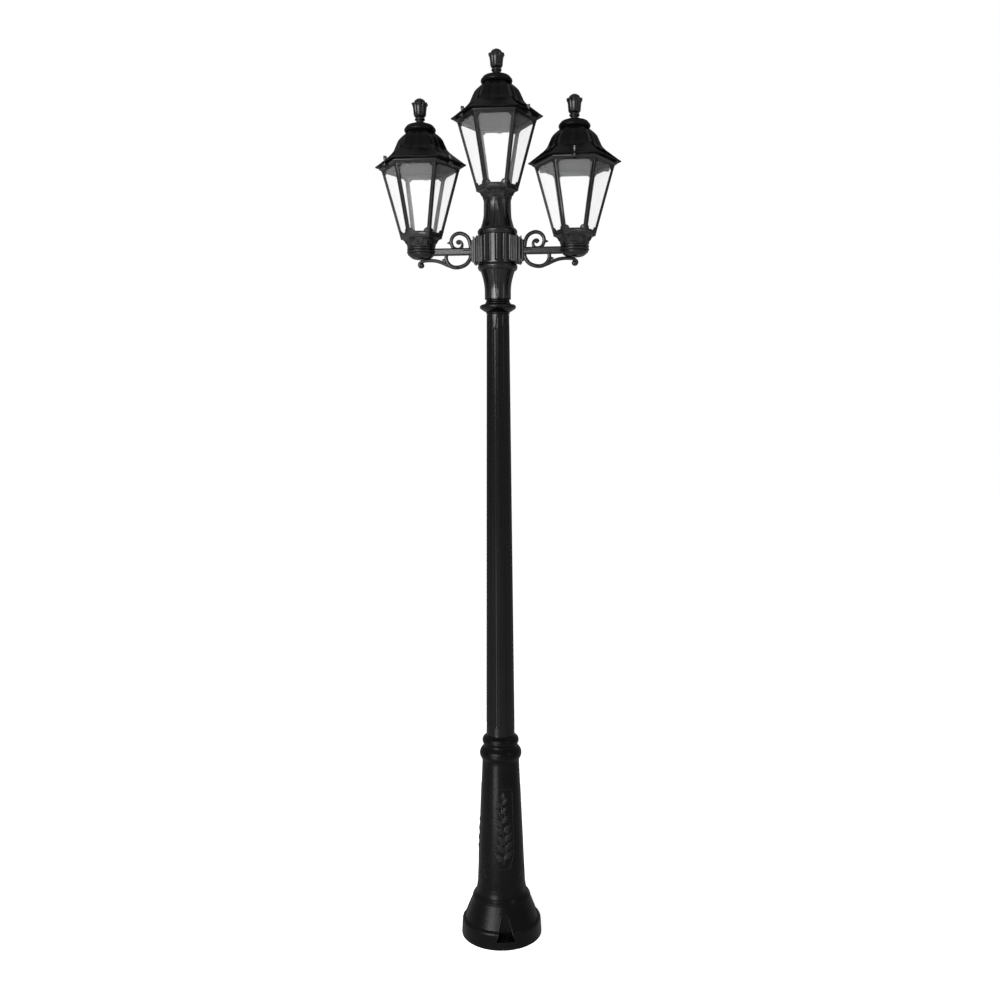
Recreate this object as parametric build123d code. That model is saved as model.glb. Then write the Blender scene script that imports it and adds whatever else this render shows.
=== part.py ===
from build123d import *
import math
import os

os.makedirs("parts", exist_ok=True)

# ------------------------------------------------------------------ sizes, mm
# +Z is up, the arms lie along X, the front faces -Y.
# The origin is the centre of the base, on the ground.

FIT = 0.3              # gap between pieces that part in use
EDGE = 0.4             # radial clearance round the mast

# foot plate and inner mast
PLATE_R = 104.0
PLATE_T = 6.0
PLATE_BORE_R = 22.0
MAST_R = 24.0
MAST_WALL = 3.0
BOLT_CIRCLE_R = 93.0
BOLT_HOLE_R = 6.0
BOLT_COUNT = 3

# base bell and shaft, turned a little about Z against the arms
BASE_TURN = 10.0
BELL_FOOT_R = 111.5
BELL_LIP_R = 109.2
BELL_LIP_H = 40.0
BELL_CONE_R = 98.0
BELL_CONE_Z = 49.0
BELL_NECK_R = 78.6
BELL_NECK_Z = 110.0
BELL_H = 121.0
BELL_WALL = 6.0
BEAD_R = 2.6
NICHE_BACK_R = 80.0
NICHE_FLOOR_Z = 22.0
NICHE_TOP_Z = 88.0
NICHE_HALF_FOOT = 25.0
NICHE_HALF_TOP = 8.0
NICHE_TILT = 6.0
NICHE_LIP_R = 103.0
NICHE_LIP_Z = 37.0
NICHE_WALL = 6.0
SHAFT_FOOT_R = 76.0
SHAFT_COVE_R = 66.4
SHAFT_COVE_H = 20.0
SHAFT_H = 369.0
SHAFT_TOP_R = 50.8
SHAFT_BORE_R = 60.0
SHAFT_WALL = 5.0
PANEL_DEPTH = 1.0
PANEL_HALF_W = 34.0
PANEL_END_HALF_W = 17.0
PANEL_LOW = 85.0       # above the shaft's foot
PANEL_HIGH = 305.0
PANEL_CORNER_H = 28.0

# collar between shaft and pole
COLLAR_H = 76.0
COLLAR_BORE_R = 30.0
COLLAR_BIG_R = 57.7
COLLAR_WAIST_R = 47.2
COLLAR_SMALL_R = 50.3

# pole sleeve
POLE_H = 1146.0
POLE_FOOT_R = 39.3
POLE_TOP_R = 30.5
POLE_WALL = 5.0
FLUTES = 8
FLUTE_W = 12.0
FLUTE_DEPTH = 2.2
FLUTE_LOW = 22.0       # plain length under and over the flutes
FLUTE_HIGH = 32.0

# ringed collar on the pole
KNOP_H = 42.0
KNOP_R = 46.2
KNOP_NECK_R = 33.6

# hub: capital, drum, neck
CAPITAL_H = 93.0
CAPITAL_R = 35.0
CAPITAL_FLARE_R = 46.0
RING_R = 52.8
RING_H = 18.0
DRUM_H = 74.0
DRUM_R = 45.4
DRUM_BORE_R = 30.0
DRUM_WEB = 6.0
DRUM_FLUTES = 16
DRUM_FLUTE_R = 4.4
PAD_X = 56.0
PAD_HALF_Y = 29.0
NECK_H = 96.0
NECK_R = 35.2
NECK_BORE_R = 29.0
PETALS = 8
PETAL_GROOVE = 2.4
PETAL_RIDGE = 1.4

# terminal block in the drum
BLOCK_L = 24.0
BLOCK_W = 10.0
BLOCK_H = 16.0
WIRE_HOLE_R = 14.0

# arms
ARM_REACH = 205.0
ARM_DROP = 3.0         # bar axis below the drum's middle
FLANGE_T = 6.0
FLANGE_HALF_Y = 24.0
FLANGE_H = 72.0
BOSS_T = 6.0
BOSS_H = 42.0
BAR_H = 19.0
BAR_W = 13.0
BAR_GROOVE = 2.0
BAR_GROOVE_H = 4.0
SCROLL_W = 8.0         # across, along Y
SCROLL_T = 7.4         # in the plane of the scroll
CUP_SINK = 27.0        # how far the cup reaches below the top of its seat on the bar
TAIL_DROP = 3.5        # fall of the tail's end under the cup
SCREW_R = 3.0
SCREW_HEAD_R = 5.5
SCREW_HEAD_T = 3.0
ARM_SCREW_Y = 15.0
ARM_SCREW_Z = 29.0

# socket cup under a side lantern
CUP_H = 32.0
CUP_R = 38.4
CUP_SEAT_R = 37.6
CUP_FOOT_R = 22.0
CUP_BORE_R = 30.0
CUP_FLOOR = 5.0
CUP_SCREW_R = 2.5

# lantern frame: circumradius of the hexagon at each height above its seat
FRAME_SEAT_R = 37.6
FRAME_SILL_R = 54.6
FRAME_SILL_Z = 21.5
FRAME_TOP_R = 104.0
RIM_H = 207.0
RIM_Z = RIM_H - 1.5
FRAME_TOP_Z = RIM_H - 7.0
RIM_R = FRAME_TOP_R + 8.5
FRAME_WALL = 3.0
FRAME_FLOOR = 4.0
SILL_FLOOR_Z = 24.0
WINDOW_LOW_Z = 33.0
WINDOW_HIGH_Z = FRAME_TOP_Z + 0.5
POST_LEG = 9.0
WINDOW_EAR_R = 8.0
LUG_R = 7.5
LUG_H = 9.0
LUG_HOLE_R = 4.8       # wide enough for a side roof to come away at a slant
THUMB_GRIP = 4.0       # how deep a thumb screw stands in its lug
THUMB_RADIUS = RIM_R * math.cos(math.pi / 6) + 2.0    # from the lantern's axis to a thumb screw
THUMB_R = 2.5
THUMB_HEAD_R = 4.6
THUMB_HEAD_H = 9.0

# diffuser, gasket, lampholder
PANE_T = 2.0
GASKET_T = 2.7
GASKET_OUT_R = RIM_R - 5.0
GASKET_IN_R = RIM_R - 12.5
HOLDER_R = 19.5
HOLDER_TOP_Z = 37.0
HOLDER_LOW_Z = -16.0
HOLDER_FLANGE_R = 26.0
HOLDER_FLANGE_T = 4.0
HOLDER_BORE_R = 13.2
HOLDER_BORE_L = 26.0

# roof: circumradii, and heights above its own seat
ROOF_SEAT_Z = RIM_H + GASKET_T + FIT
EAVE_R = RIM_R + 10.2
EAVE_T = 3.0
SKIRT_R = 97.3
SKIRT_H = 21.0
WAIST_R = 71.2
WAIST_H = 43.0
SHOULDER_R = 60.8
SHOULDER_H = 66.0
ROOF_TOP_R = 40.0
ROOF_H = 88.0
ROOF_WALL = 3.4
ROOF_LID_T = 5.0
LOBE_TURN = 10.9       # from the middle of a face to the groove between two lobes
LOBE_GROOVE_W = 3.0
LOBE_GROOVE_DEPTH = 2.0
THUMB_SEAT_Z = ROOF_SEAT_Z + 9.5
THUMB_POCKET_R = 8.0
ROOF_TOP_Z = ROOF_SEAT_Z + ROOF_H
CAP_H = 24.0
CAP_R = 41.7
FINIAL_H = 66.0
FINIAL_R = 20.8
FINIAL_STUD_R = 5.0
FINIAL_SLIT = 2.0

# ------------------------------------------------------------ heights of seats
BELL_TOP = BELL_H
SHAFT_TOP = BELL_TOP + SHAFT_H
COLLAR_TOP = SHAFT_TOP + COLLAR_H
POLE_TOP = COLLAR_TOP + POLE_H
KNOP_TOP = POLE_TOP + KNOP_H
CAPITAL_TOP = KNOP_TOP + CAPITAL_H
DRUM_TOP = CAPITAL_TOP + DRUM_H
NECK_TOP = DRUM_TOP + NECK_H
ARM_Z = CAPITAL_TOP + DRUM_H / 2 - ARM_DROP
SIDE_SEAT = ARM_Z + CUP_H - CUP_SINK + BAR_H / 2
CUP_LOW = SIDE_SEAT - CUP_H


# -------------------------------------------------------------------- helpers
def turned(start, *steps):
    """Solid turned about Z. A step is (radius, z), or (mid point, end point) for an arc."""
    edges = []
    here = start
    for step in steps + (start,):
        is_arc = isinstance(step[0], tuple)
        end = step[1] if is_arc else step
        a = (here[0], 0, here[1])
        b = (end[0], 0, end[1])
        if is_arc:
            middle = (step[0][0], 0, step[0][1])
            edges.append(ThreePointArc(a, middle, b))
        elif math.dist(here, end) > 1e-6:
            edges.append(Line(a, b))
        here = end
    return revolve(make_face(edges), Axis.Z, 360)


def disc(radius, low, high):
    """Upright cylinder from one height to another."""
    return Pos(0, 0, (low + high) / 2) * Cylinder(radius, high - low)


def block(x, y, z):
    """Box from three (low, high) pairs."""
    size = [high - low for low, high in (x, y, z)]
    middle = [(high + low) / 2 for low, high in (x, y, z)]
    return Pos(*middle) * Box(*size)


def hex_loft(*levels):
    """Six-sided solid through hexagons of (circumradius, z), corners on the X axis."""
    return loft([Pos(0, 0, z) * RegularPolygon(r, 6) for r, z in levels], ruled=True)


def around(shape, count, first=0.0):
    """Copies of a shape turned evenly about Z."""
    return [Rot(0, 0, first + 360 / count * i) * shape for i in range(count)]


def bar_outline(points):
    """Flat face in the XZ plane, facing -Y, from (x, z) points."""
    corners = [(x, 0, z) for x, z in points]
    return make_face(Polyline(*corners, close=True))


def base_turned(shape):
    return Rot(0, 0, BASE_TURN) * shape


# ----------------------------------------------------------------------- post
def make_foot_plate():
    plate = disc(PLATE_R, 0, PLATE_T) - disc(PLATE_BORE_R, 0, PLATE_T)
    hole = Pos(BOLT_CIRCLE_R, 0, 0) * disc(BOLT_HOLE_R, 0, PLATE_T)
    for one in around(hole, BOLT_COUNT, -90):
        plate -= one
    return base_turned(plate)


def make_mast():
    top = CAPITAL_TOP
    return disc(MAST_R, PLATE_T, top) - disc(MAST_R - MAST_WALL, PLATE_T, top)


def make_bell():
    ring_low = BELL_NECK_Z + 2 * BEAD_R
    outside = turned(
        (0, 0),
        (BELL_FOOT_R, 0),
        (BELL_LIP_R, BELL_LIP_H),
        ((BELL_LIP_R - 3.0, BELL_CONE_Z - 2.0), (BELL_CONE_R + 2.0, BELL_CONE_Z)),
        (BELL_CONE_R, BELL_CONE_Z - 1.5),
        (BELL_NECK_R, BELL_NECK_Z),
        ((BELL_NECK_R + BEAD_R / 2, BELL_NECK_Z + BEAD_R), (BELL_NECK_R - 0.6, ring_low)),
        ((SHAFT_FOOT_R + BEAD_R / 2, (ring_low + BELL_H) / 2), (SHAFT_FOOT_R, BELL_H)),
        (0, BELL_H),
    )
    hollow = turned(
        (0, 0),
        (PLATE_R + EDGE, 0),
        (PLATE_R + EDGE, PLATE_T),
        (BELL_CONE_R - BELL_WALL, PLATE_T),
        (BELL_CONE_R - BELL_WALL, BELL_CONE_Z),
        (SHAFT_BORE_R + BELL_WALL, BELL_NECK_Z),
        (SHAFT_BORE_R, BELL_NECK_Z + BELL_WALL),
        (SHAFT_BORE_R, BELL_H),
        (0, BELL_H),
    )
    width = 2 * (NICHE_HALF_FOOT + NICHE_WALL)
    boss = block(
        (NICHE_BACK_R - NICHE_WALL, BELL_FOOT_R),
        (-width / 2, width / 2),
        (PLATE_T, NICHE_TOP_Z + NICHE_WALL),
    )
    tilt = math.radians(NICHE_TILT)
    back = Plane(
        origin=(NICHE_BACK_R, 0, NICHE_FLOOR_Z),
        x_dir=(0, 1, 0),
        z_dir=(math.cos(tilt), 0, -math.sin(tilt)),
    )
    height = NICHE_TOP_Z - NICHE_FLOOR_Z
    keystone = make_face(
        Polyline(
            (-NICHE_HALF_FOOT, 0),
            (NICHE_HALF_FOOT, 0),
            (NICHE_HALF_TOP, height),
            (-NICHE_HALF_TOP, height),
            close=True,
        )
    )
    niche = back * extrude(keystone, BELL_FOOT_R - NICHE_BACK_R + NICHE_WALL)
    far = 2 * BELL_FOOT_R
    niche -= disc(far, -far, NICHE_LIP_Z) - disc(NICHE_LIP_R, -far, NICHE_LIP_Z)
    niche -= disc(far, -far, NICHE_FLOOR_Z)
    hole = Pos(BOLT_CIRCLE_R, 0, 0) * disc(BOLT_HOLE_R, 0, NICHE_FLOOR_Z)
    for one in around(boss, BOLT_COUNT, -90):
        hollow -= one
    shell = outside - hollow
    for one in around(niche, BOLT_COUNT, -90) + around(hole, BOLT_COUNT, -90):
        shell -= one
    return base_turned(shell)


def shaft_body(inset):
    """Outside of the shaft, drawn in by a small amount."""
    cove_top = BELL_TOP + SHAFT_COVE_H
    bulge = (SHAFT_FOOT_R - 2.6 - inset, BELL_TOP + 0.52 * SHAFT_COVE_H)
    return turned(
        (0, BELL_TOP),
        (SHAFT_FOOT_R - inset, BELL_TOP),
        (bulge, (SHAFT_COVE_R - inset, cove_top)),
        (SHAFT_TOP_R - inset, SHAFT_TOP),
        (0, SHAFT_TOP),
    )


def make_shaft():
    outside = shaft_body(0)
    skin = outside - shaft_body(PANEL_DEPTH)
    low = BELL_TOP + PANEL_LOW
    high = BELL_TOP + PANEL_HIGH
    outline = bar_outline(
        [
            (-PANEL_END_HALF_W, low),
            (PANEL_END_HALF_W, low),
            (PANEL_HALF_W, low + PANEL_CORNER_H),
            (PANEL_HALF_W - 4.0, high - PANEL_CORNER_H),
            (PANEL_END_HALF_W, high),
            (-PANEL_END_HALF_W, high),
            (-PANEL_HALF_W + 4.0, high - PANEL_CORNER_H),
            (-PANEL_HALF_W, low + PANEL_CORNER_H),
        ]
    )
    panel = extrude(outline, SHAFT_FOOT_R, dir=(0, -1, 0)) & skin
    hollow = turned(
        (0, BELL_TOP),
        (SHAFT_BORE_R, BELL_TOP),
        (SHAFT_BORE_R, BELL_TOP + SHAFT_COVE_H),
        (SHAFT_TOP_R - SHAFT_WALL, SHAFT_TOP),
        (0, SHAFT_TOP),
    )
    shaft = outside - hollow
    for one in around(panel, BOLT_COUNT):
        shaft -= one
    return base_turned(shaft)


def make_collar():
    low = SHAFT_TOP
    top = COLLAR_TOP
    return turned(
        (COLLAR_BORE_R, low),
        (SHAFT_TOP_R, low),
        (SHAFT_TOP_R + 1.0, low + 8.0),
        ((COLLAR_BIG_R, low + 23.0), (SHAFT_TOP_R + 0.8, low + 39.0)),
        (COLLAR_WAIST_R, low + 43.0),
        (COLLAR_WAIST_R, low + 50.0),
        ((COLLAR_SMALL_R, low + 59.5), (COLLAR_WAIST_R - 1.0, low + 69.5)),
        ((POLE_FOOT_R + 2.0, top - 3.0), (POLE_FOOT_R, top)),
        (COLLAR_BORE_R, top),
    )


def make_pole():
    tube = turned(
        (POLE_FOOT_R - POLE_WALL, COLLAR_TOP),
        (POLE_FOOT_R, COLLAR_TOP),
        (POLE_TOP_R, POLE_TOP),
        (POLE_TOP_R - POLE_WALL, POLE_TOP),
    )
    tool_r = (FLUTE_W**2 / 4 + FLUTE_DEPTH**2) / (2 * FLUTE_DEPTH)
    slope = (POLE_FOOT_R - POLE_TOP_R) / POLE_H

    def tool_point(z):
        surface = POLE_FOOT_R - slope * (z - COLLAR_TOP)
        return Vector(surface + tool_r - FLUTE_DEPTH, 0, z)

    reach = FLUTE_W / 2 + FLUTE_DEPTH
    low = tool_point(COLLAR_TOP + FLUTE_LOW + reach)
    high = tool_point(POLE_TOP - FLUTE_HIGH - reach)
    path = Plane(origin=low, z_dir=high - low)
    length = (high - low).length
    flute = path * Pos(0, 0, length / 2) * Cylinder(tool_r, length)
    flute += Pos(*low) * Sphere(tool_r)
    flute += Pos(*high) * Sphere(tool_r)
    for one in around(flute, FLUTES, -90 + 180 / FLUTES):
        tube -= one
    return base_turned(tube)


def make_knop():
    z = POLE_TOP
    return turned(
        (MAST_R + EDGE, z),
        (POLE_TOP_R + 1.0, z),
        (KNOP_NECK_R, z + 0.8),
        (KNOP_NECK_R + 1.0, z + 2.8),
        (KNOP_NECK_R, z + 5.0),
        (KNOP_NECK_R + 3.0, z + 7.5),
        (KNOP_NECK_R + 6.5, z + 10.0),
        (KNOP_NECK_R + 8.5, z + 13.0),
        ((KNOP_R, z + 21.0), (KNOP_NECK_R + 9.0, z + 27.5)),
        (KNOP_NECK_R + 6.5, z + 28.5),
        ((KNOP_NECK_R + 6.8, z + 31.0), (KNOP_NECK_R + 3.6, z + 33.5)),
        (KNOP_NECK_R + 1.5, z + 35.0),
        (KNOP_NECK_R + 1.5, z + KNOP_H),
        (MAST_R + EDGE, z + KNOP_H),
    )


def lancets(low, high, narrow, wide):
    """Eight pairs of slim openings between petals, from one height to another."""
    side = bar_outline([(PETAL_RIDGE / 2, low), (narrow, low), (wide, high), (PETAL_RIDGE / 2, high)])
    one = extrude(side, RING_R, dir=(0, -1, 0))
    pair = one + mirror(one, Plane.YZ)
    return around(pair, PETALS)


def capital_body(inset):
    low = KNOP_TOP
    ring = CAPITAL_TOP - RING_H
    return turned(
        (0, low),
        (CAPITAL_R - inset, low),
        (CAPITAL_R - inset, low + 22.0),
        ((CAPITAL_R + 3.6 - inset, low + 50.0), (CAPITAL_FLARE_R - inset, ring - 0.5)),
        (CAPITAL_FLARE_R - inset, CAPITAL_TOP),
        (0, CAPITAL_TOP),
    )


def make_ring(low, bore):
    """Rounded ring above or below the drum."""
    inner = CAPITAL_FLARE_R - 1.5
    return turned(
        (bore, low),
        (inner, low),
        (RING_R - 3.5, low + 1.0),
        ((RING_R + 0.4, low + RING_H / 2), (RING_R - 3.5, low + RING_H - 1.0)),
        (inner, low + RING_H),
        (bore, low + RING_H),
    )


def make_capital():
    outside = capital_body(0)
    skin = outside - capital_body(PETAL_GROOVE)
    capital = outside
    ring_low = CAPITAL_TOP - RING_H
    for one in lancets(KNOP_TOP + 4.0, ring_low - 1.0, 1.6, 7.5):
        capital -= one & skin
    capital += make_ring(ring_low, MAST_R + EDGE)
    return capital - disc(MAST_R + EDGE, KNOP_TOP, CAPITAL_TOP)


def make_drum():
    low = CAPITAL_TOP
    top = DRUM_TOP
    drum = disc(DRUM_R, low, top)
    groove_r = DRUM_FLUTE_R
    groove = Pos(DRUM_R + 1.2, 0, 0) * disc(groove_r, low + 4.0, top - 4.0)
    pad = block((0, PAD_X), (-PAD_HALF_Y, PAD_HALF_Y), (low, top))
    pad_groove = Pos(0, -PAD_HALF_Y - 1.5, 0) * disc(groove_r - 0.6, low + 4.0, top - 4.0)
    for one in around(groove, DRUM_FLUTES):
        drum -= one
    drum += pad + mirror(pad, Plane.YZ)
    for x in (PAD_X - 5.5, PAD_X - 14.5):
        for sign_x in (-1, 1):
            for turn in (0, 180):
                drum -= Rot(0, 0, turn) * Pos(sign_x * x, 0, 0) * pad_groove
    drum -= disc(DRUM_BORE_R, low + DRUM_WEB, top)
    drum -= disc(WIRE_HOLE_R, low, low + DRUM_WEB)
    screw_hole = Rot(0, 90, 0) * Cylinder(SCREW_R, 2 * PAD_X + 2)
    middle = (low + top) / 2
    for y in (-ARM_SCREW_Y, ARM_SCREW_Y):
        for z in (middle - ARM_SCREW_Z, middle + ARM_SCREW_Z):
            drum -= Pos(0, y, z) * (screw_hole & block((DRUM_R, PAD_X + 2), (-9, 9), (-9, 9)))
            drum -= Pos(0, y, z) * (screw_hole & block((-PAD_X - 2, -DRUM_R), (-9, 9), (-9, 9)))
    return drum


def make_block():
    low = CAPITAL_TOP + DRUM_WEB
    return block(
        (-BLOCK_L / 2, BLOCK_L / 2),
        (WIRE_HOLE_R + 1.5, WIRE_HOLE_R + 1.5 + BLOCK_W),
        (low, low + BLOCK_H),
    )


def neck_body(inset):
    low = DRUM_TOP
    ring = low + RING_H
    return turned(
        (0, low),
        (CAPITAL_FLARE_R - inset, low),
        (CAPITAL_FLARE_R - inset, ring),
        ((NECK_R + 1.6 - inset, ring + 34.0), (NECK_R - inset, ring + 56.0)),
        ((NECK_R + 0.3 - inset, NECK_TOP - 12.0), (CUP_SEAT_R - inset, NECK_TOP)),
        (0, NECK_TOP),
    )


def make_neck():
    outside = neck_body(0)
    skin = outside - neck_body(PETAL_GROOVE)
    neck = outside
    ring_top = DRUM_TOP + RING_H
    for one in lancets(ring_top + 1.0, NECK_TOP - 8.0, 7.5, 1.6):
        neck -= one & skin
    neck += make_ring(DRUM_TOP, NECK_BORE_R)
    return neck - disc(NECK_BORE_R, DRUM_TOP, NECK_TOP)


# ----------------------------------------------------------------------- arms
def scroll_section(plane, width, depth):
    """Chamfered rectangle across a scroll."""
    cut = 0.28 * min(width, depth)
    w = width / 2
    d = depth / 2
    outline = Polyline(
        (-w + cut, -d),
        (w - cut, -d),
        (w, -d + cut),
        (w, d - cut),
        (w - cut, d),
        (-w + cut, d),
        (-w, d - cut),
        (-w, -d + cut),
        close=True,
    )
    return plane * make_face(outline)


def swept_scroll(arcs, depth):
    """Bar of the scroll's section along tangent arcs in the XZ plane.

    The first entry is (start, direction); each later one is an end point (x, z)."""
    start, heading = arcs[0]
    here = Vector(start[0], 0, start[1])
    tangent = Vector(heading[0], 0, heading[1]).normalized()
    section = scroll_section(Plane(origin=here, x_dir=(0, 1, 0), z_dir=tangent), SCROLL_W, depth)
    edges = []
    for end in arcs[1:]:
        edge = TangentArc(here, Vector(end[0], 0, end[1]), tangent=tangent)
        edges.append(edge)
        here = edge @ 1
        tangent = edge % 1
    return sweep(section, Wire(edges))


def make_socket_outside():
    """Outer form of the cup under a side lantern, on the Z axis."""
    low = CUP_LOW
    top = SIDE_SEAT
    return turned(
        (0, low),
        (CUP_FOOT_R, low),
        ((CUP_R - 6.5, low + 4.5), (CUP_R - 1.6, low + 12.5)),
        (CUP_R - 1.6, low + 14.0),
        ((CUP_R + 0.6, low + 17.5), (CUP_R - 1.6, low + 21.0)),
        (CUP_R - 1.6, low + 22.0),
        ((CUP_R, low + 25.0), (CUP_SEAT_R, low + 28.0)),
        (CUP_SEAT_R, top),
        (0, top),
    )


def make_socket_cup():
    cup = make_socket_outside()
    cup -= disc(CUP_BORE_R, CUP_LOW + CUP_FLOOR, SIDE_SEAT)
    cup -= disc(CUP_SCREW_R, CUP_LOW, CUP_LOW + CUP_FLOOR)
    return Pos(ARM_REACH, 0, 0) * cup


def make_arm():
    z = ARM_Z
    face = PAD_X + FLANGE_T
    root = face + BOSS_T
    tip = ARM_REACH
    flange_middle = CAPITAL_TOP + DRUM_H / 2
    flange_low = flange_middle - FLANGE_H / 2
    flange = block(
        (PAD_X, face),
        (-FLANGE_HALF_Y, FLANGE_HALF_Y),
        (flange_low, flange_low + FLANGE_H),
    )
    boss = block((face, root), (-SCROLL_W, SCROLL_W), (z - BOSS_H / 2, z + BOSS_H / 2))
    bar = block((root, ARM_REACH), (-BAR_W / 2, BAR_W / 2), (z - BAR_H / 2, z + BAR_H / 2))
    for side in (-1, 1):
        y = side * BAR_W / 2
        depth = (min(y, y - side * BAR_GROOVE), max(y, y - side * BAR_GROOVE))
        bar -= block((root + 4.0, ARM_REACH), depth, (z - BAR_GROOVE_H / 2, z + BAR_GROOVE_H / 2))
    bar_top = z + BAR_H / 2
    upper = swept_scroll(
        [
            ((root - 1.0, z + 12.0), (0, 1)),
            (root + 30.0, z + 52.0),
            (root + 59.0, z + 23.0),
            (root + 40.0, z + 11.0),
            (root + 26.0, z + 22.0),
            (root + 35.0, z + 29.0),
        ],
        SCROLL_T,
    )
    eye = Pos(root + 36.5, 0, z + 25.5) * Rot(90, 0, 0) * Cylinder(5.0, SCROLL_W + 2.0)
    thorn = extrude(
        bar_outline([(root + 59.0, z + 26.0), (root + 69.0, z + 24.0), (root + 59.0, z + 18.0)]),
        SCROLL_W / 4,
        both=True,
    )
    lower = swept_scroll(
        [
            ((root - 1.0, z - 12.0), (0.15, -1)),
            (root + 36.0, z - 41.5),
            (tip - 66.0, z - 9.0),
        ],
        SCROLL_T,
    )
    tail_z = CUP_LOW - SCROLL_T / 2
    tail = swept_scroll(
        [
            ((root + 36.0, z - 41.5), (1, 0)),
            (tip - 62.0, z - 32.0),
            (tip - 15.0, tail_z),
            (tip, tail_z - TAIL_DROP),
            (tip + 1.0, tail_z - TAIL_DROP - 9.5),
        ],
        SCROLL_T,
    )
    curl = Pos(tip - 3.0, 0, tail_z - TAIL_DROP - 8.5) * Rot(90, 0, 0) * Cylinder(6.0, SCROLL_W + 2.0)
    barb = extrude(
        bar_outline([(tip - 71.0, z - 19.0), (tip - 58.0, z - 21.0), (tip - 71.0, z - 25.0)]),
        SCROLL_W / 4,
        both=True,
    )
    arm = flange + boss + bar + upper + eye + thorn + lower + tail + curl + barb
    arm -= Pos(ARM_REACH, 0, 0) * make_socket_outside()
    hole = Rot(0, 90, 0) * Cylinder(SCREW_R, FLANGE_T)
    for y in (-ARM_SCREW_Y, ARM_SCREW_Y):
        for dz in (-ARM_SCREW_Z, ARM_SCREW_Z):
            arm -= Pos(PAD_X + FLANGE_T / 2, y, flange_middle + dz) * hole
    return arm


def make_arm_screws():
    flange_middle = CAPITAL_TOP + DRUM_H / 2
    face = PAD_X + FLANGE_T
    shank = Rot(0, 90, 0) * Cylinder(SCREW_R - 0.2, face - DRUM_R - 1.0)
    shank = Pos((face + DRUM_R + 1.0) / 2, 0, 0) * shank
    head = Pos(face + SCREW_HEAD_T / 2, 0, 0) * Rot(0, 90, 0) * Cylinder(SCREW_HEAD_R, SCREW_HEAD_T)
    socket = Pos(face + SCREW_HEAD_T, 0, 0) * Rot(0, 90, 0) * extrude(RegularPolygon(2.6, 6), 1.6, both=True)
    screw = shank + head - socket
    screws = []
    for y in (-ARM_SCREW_Y, ARM_SCREW_Y):
        for dz in (-ARM_SCREW_Z, ARM_SCREW_Z):
            screws.append(Pos(0, y, flange_middle + dz) * screw)
    return Compound(children=screws)


# -------------------------------------------------------------------- lantern
def frame_radius(z):
    """Circumradius of the frame's outside at a height between sill and top."""
    share = (z - FRAME_SILL_Z) / (FRAME_TOP_Z - FRAME_SILL_Z)
    return FRAME_SILL_R + share * (FRAME_TOP_R - FRAME_SILL_R)


def inside_radius(z, depth):
    """The same, moved in by a depth square to the faces."""
    apothem_per_z = (FRAME_TOP_R - FRAME_SILL_R) / (FRAME_TOP_Z - FRAME_SILL_Z) * math.cos(math.pi / 6)
    across = depth * math.hypot(1, apothem_per_z)
    return frame_radius(z) - across / math.cos(math.pi / 6)


def thumb_places():
    """Middles of three alternate faces, the first at the front."""
    return [-90 + 120 * i for i in range(3)]


def make_window():
    """Cutter for the front window: a tapering opening with an ear in each corner."""
    low = WINDOW_LOW_Z
    high = WINDOW_HIGH_Z
    low_x = frame_radius(low) / 2 - POST_LEG
    high_x = frame_radius(high) / 2 - POST_LEG
    outline = bar_outline([(-low_x, low), (low_x, low), (high_x, high), (-high_x, high)])
    opening = extrude(outline, RIM_R, dir=(0, -1, 0))
    ear = Rot(90, 0, 0) * Cylinder(WINDOW_EAR_R, 3 * RIM_R)
    for x, z in ((low_x, low), (high_x, high)):
        for side in (-1, 1):
            opening -= Pos(side * x, 0, z) * ear
    return opening


def make_frame():
    body = hex_loft(
        (FRAME_SEAT_R, 0),
        (FRAME_SEAT_R + 1.6, 5.0),
        (FRAME_SEAT_R + 6.6, 15.5),
        (FRAME_SILL_R - 1.8, 20.0),
        (FRAME_SILL_R, FRAME_SILL_Z),
        (FRAME_TOP_R, FRAME_TOP_Z),
        (RIM_R, RIM_Z),
        (RIM_R, RIM_H),
    )
    lug = Pos(THUMB_RADIUS, 0, 0) * disc(LUG_R, RIM_H - LUG_H, RIM_H)
    lug += block((THUMB_RADIUS - 2 * LUG_R, THUMB_RADIUS), (-LUG_R, LUG_R), (RIM_H - LUG_H, RIM_H))
    for angle in thumb_places():
        body += Rot(0, 0, angle) * lug
    body -= hex_loft(
        (inside_radius(SILL_FLOOR_Z, FRAME_WALL), SILL_FLOOR_Z),
        (inside_radius(RIM_H, FRAME_WALL), RIM_H),
    )
    body -= disc(CUP_BORE_R, FRAME_FLOOR, SILL_FLOOR_Z)
    body -= disc(HOLDER_R + 1.0, 0, FRAME_FLOOR)
    for one in around(make_window(), 6):
        body -= one
    hole = Pos(THUMB_RADIUS, 0, 0) * disc(LUG_HOLE_R, RIM_H - LUG_H + 2.0, RIM_H)
    for angle in thumb_places():
        body -= Rot(0, 0, angle) * hole
    return body


def make_diffuser():
    low = SILL_FLOOR_Z
    top = RIM_H - 4.0
    outer = FRAME_WALL + FIT
    inner = outer + PANE_T
    shell = hex_loft((inside_radius(low, outer), low), (inside_radius(top, outer), top))
    return shell - hex_loft((inside_radius(low, inner), low), (inside_radius(top, inner), top))


def make_gasket():
    return hex_loft((GASKET_OUT_R, RIM_H), (GASKET_OUT_R, RIM_H + GASKET_T)) - hex_loft(
        (GASKET_IN_R, RIM_H), (GASKET_IN_R, RIM_H + GASKET_T)
    )


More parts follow.
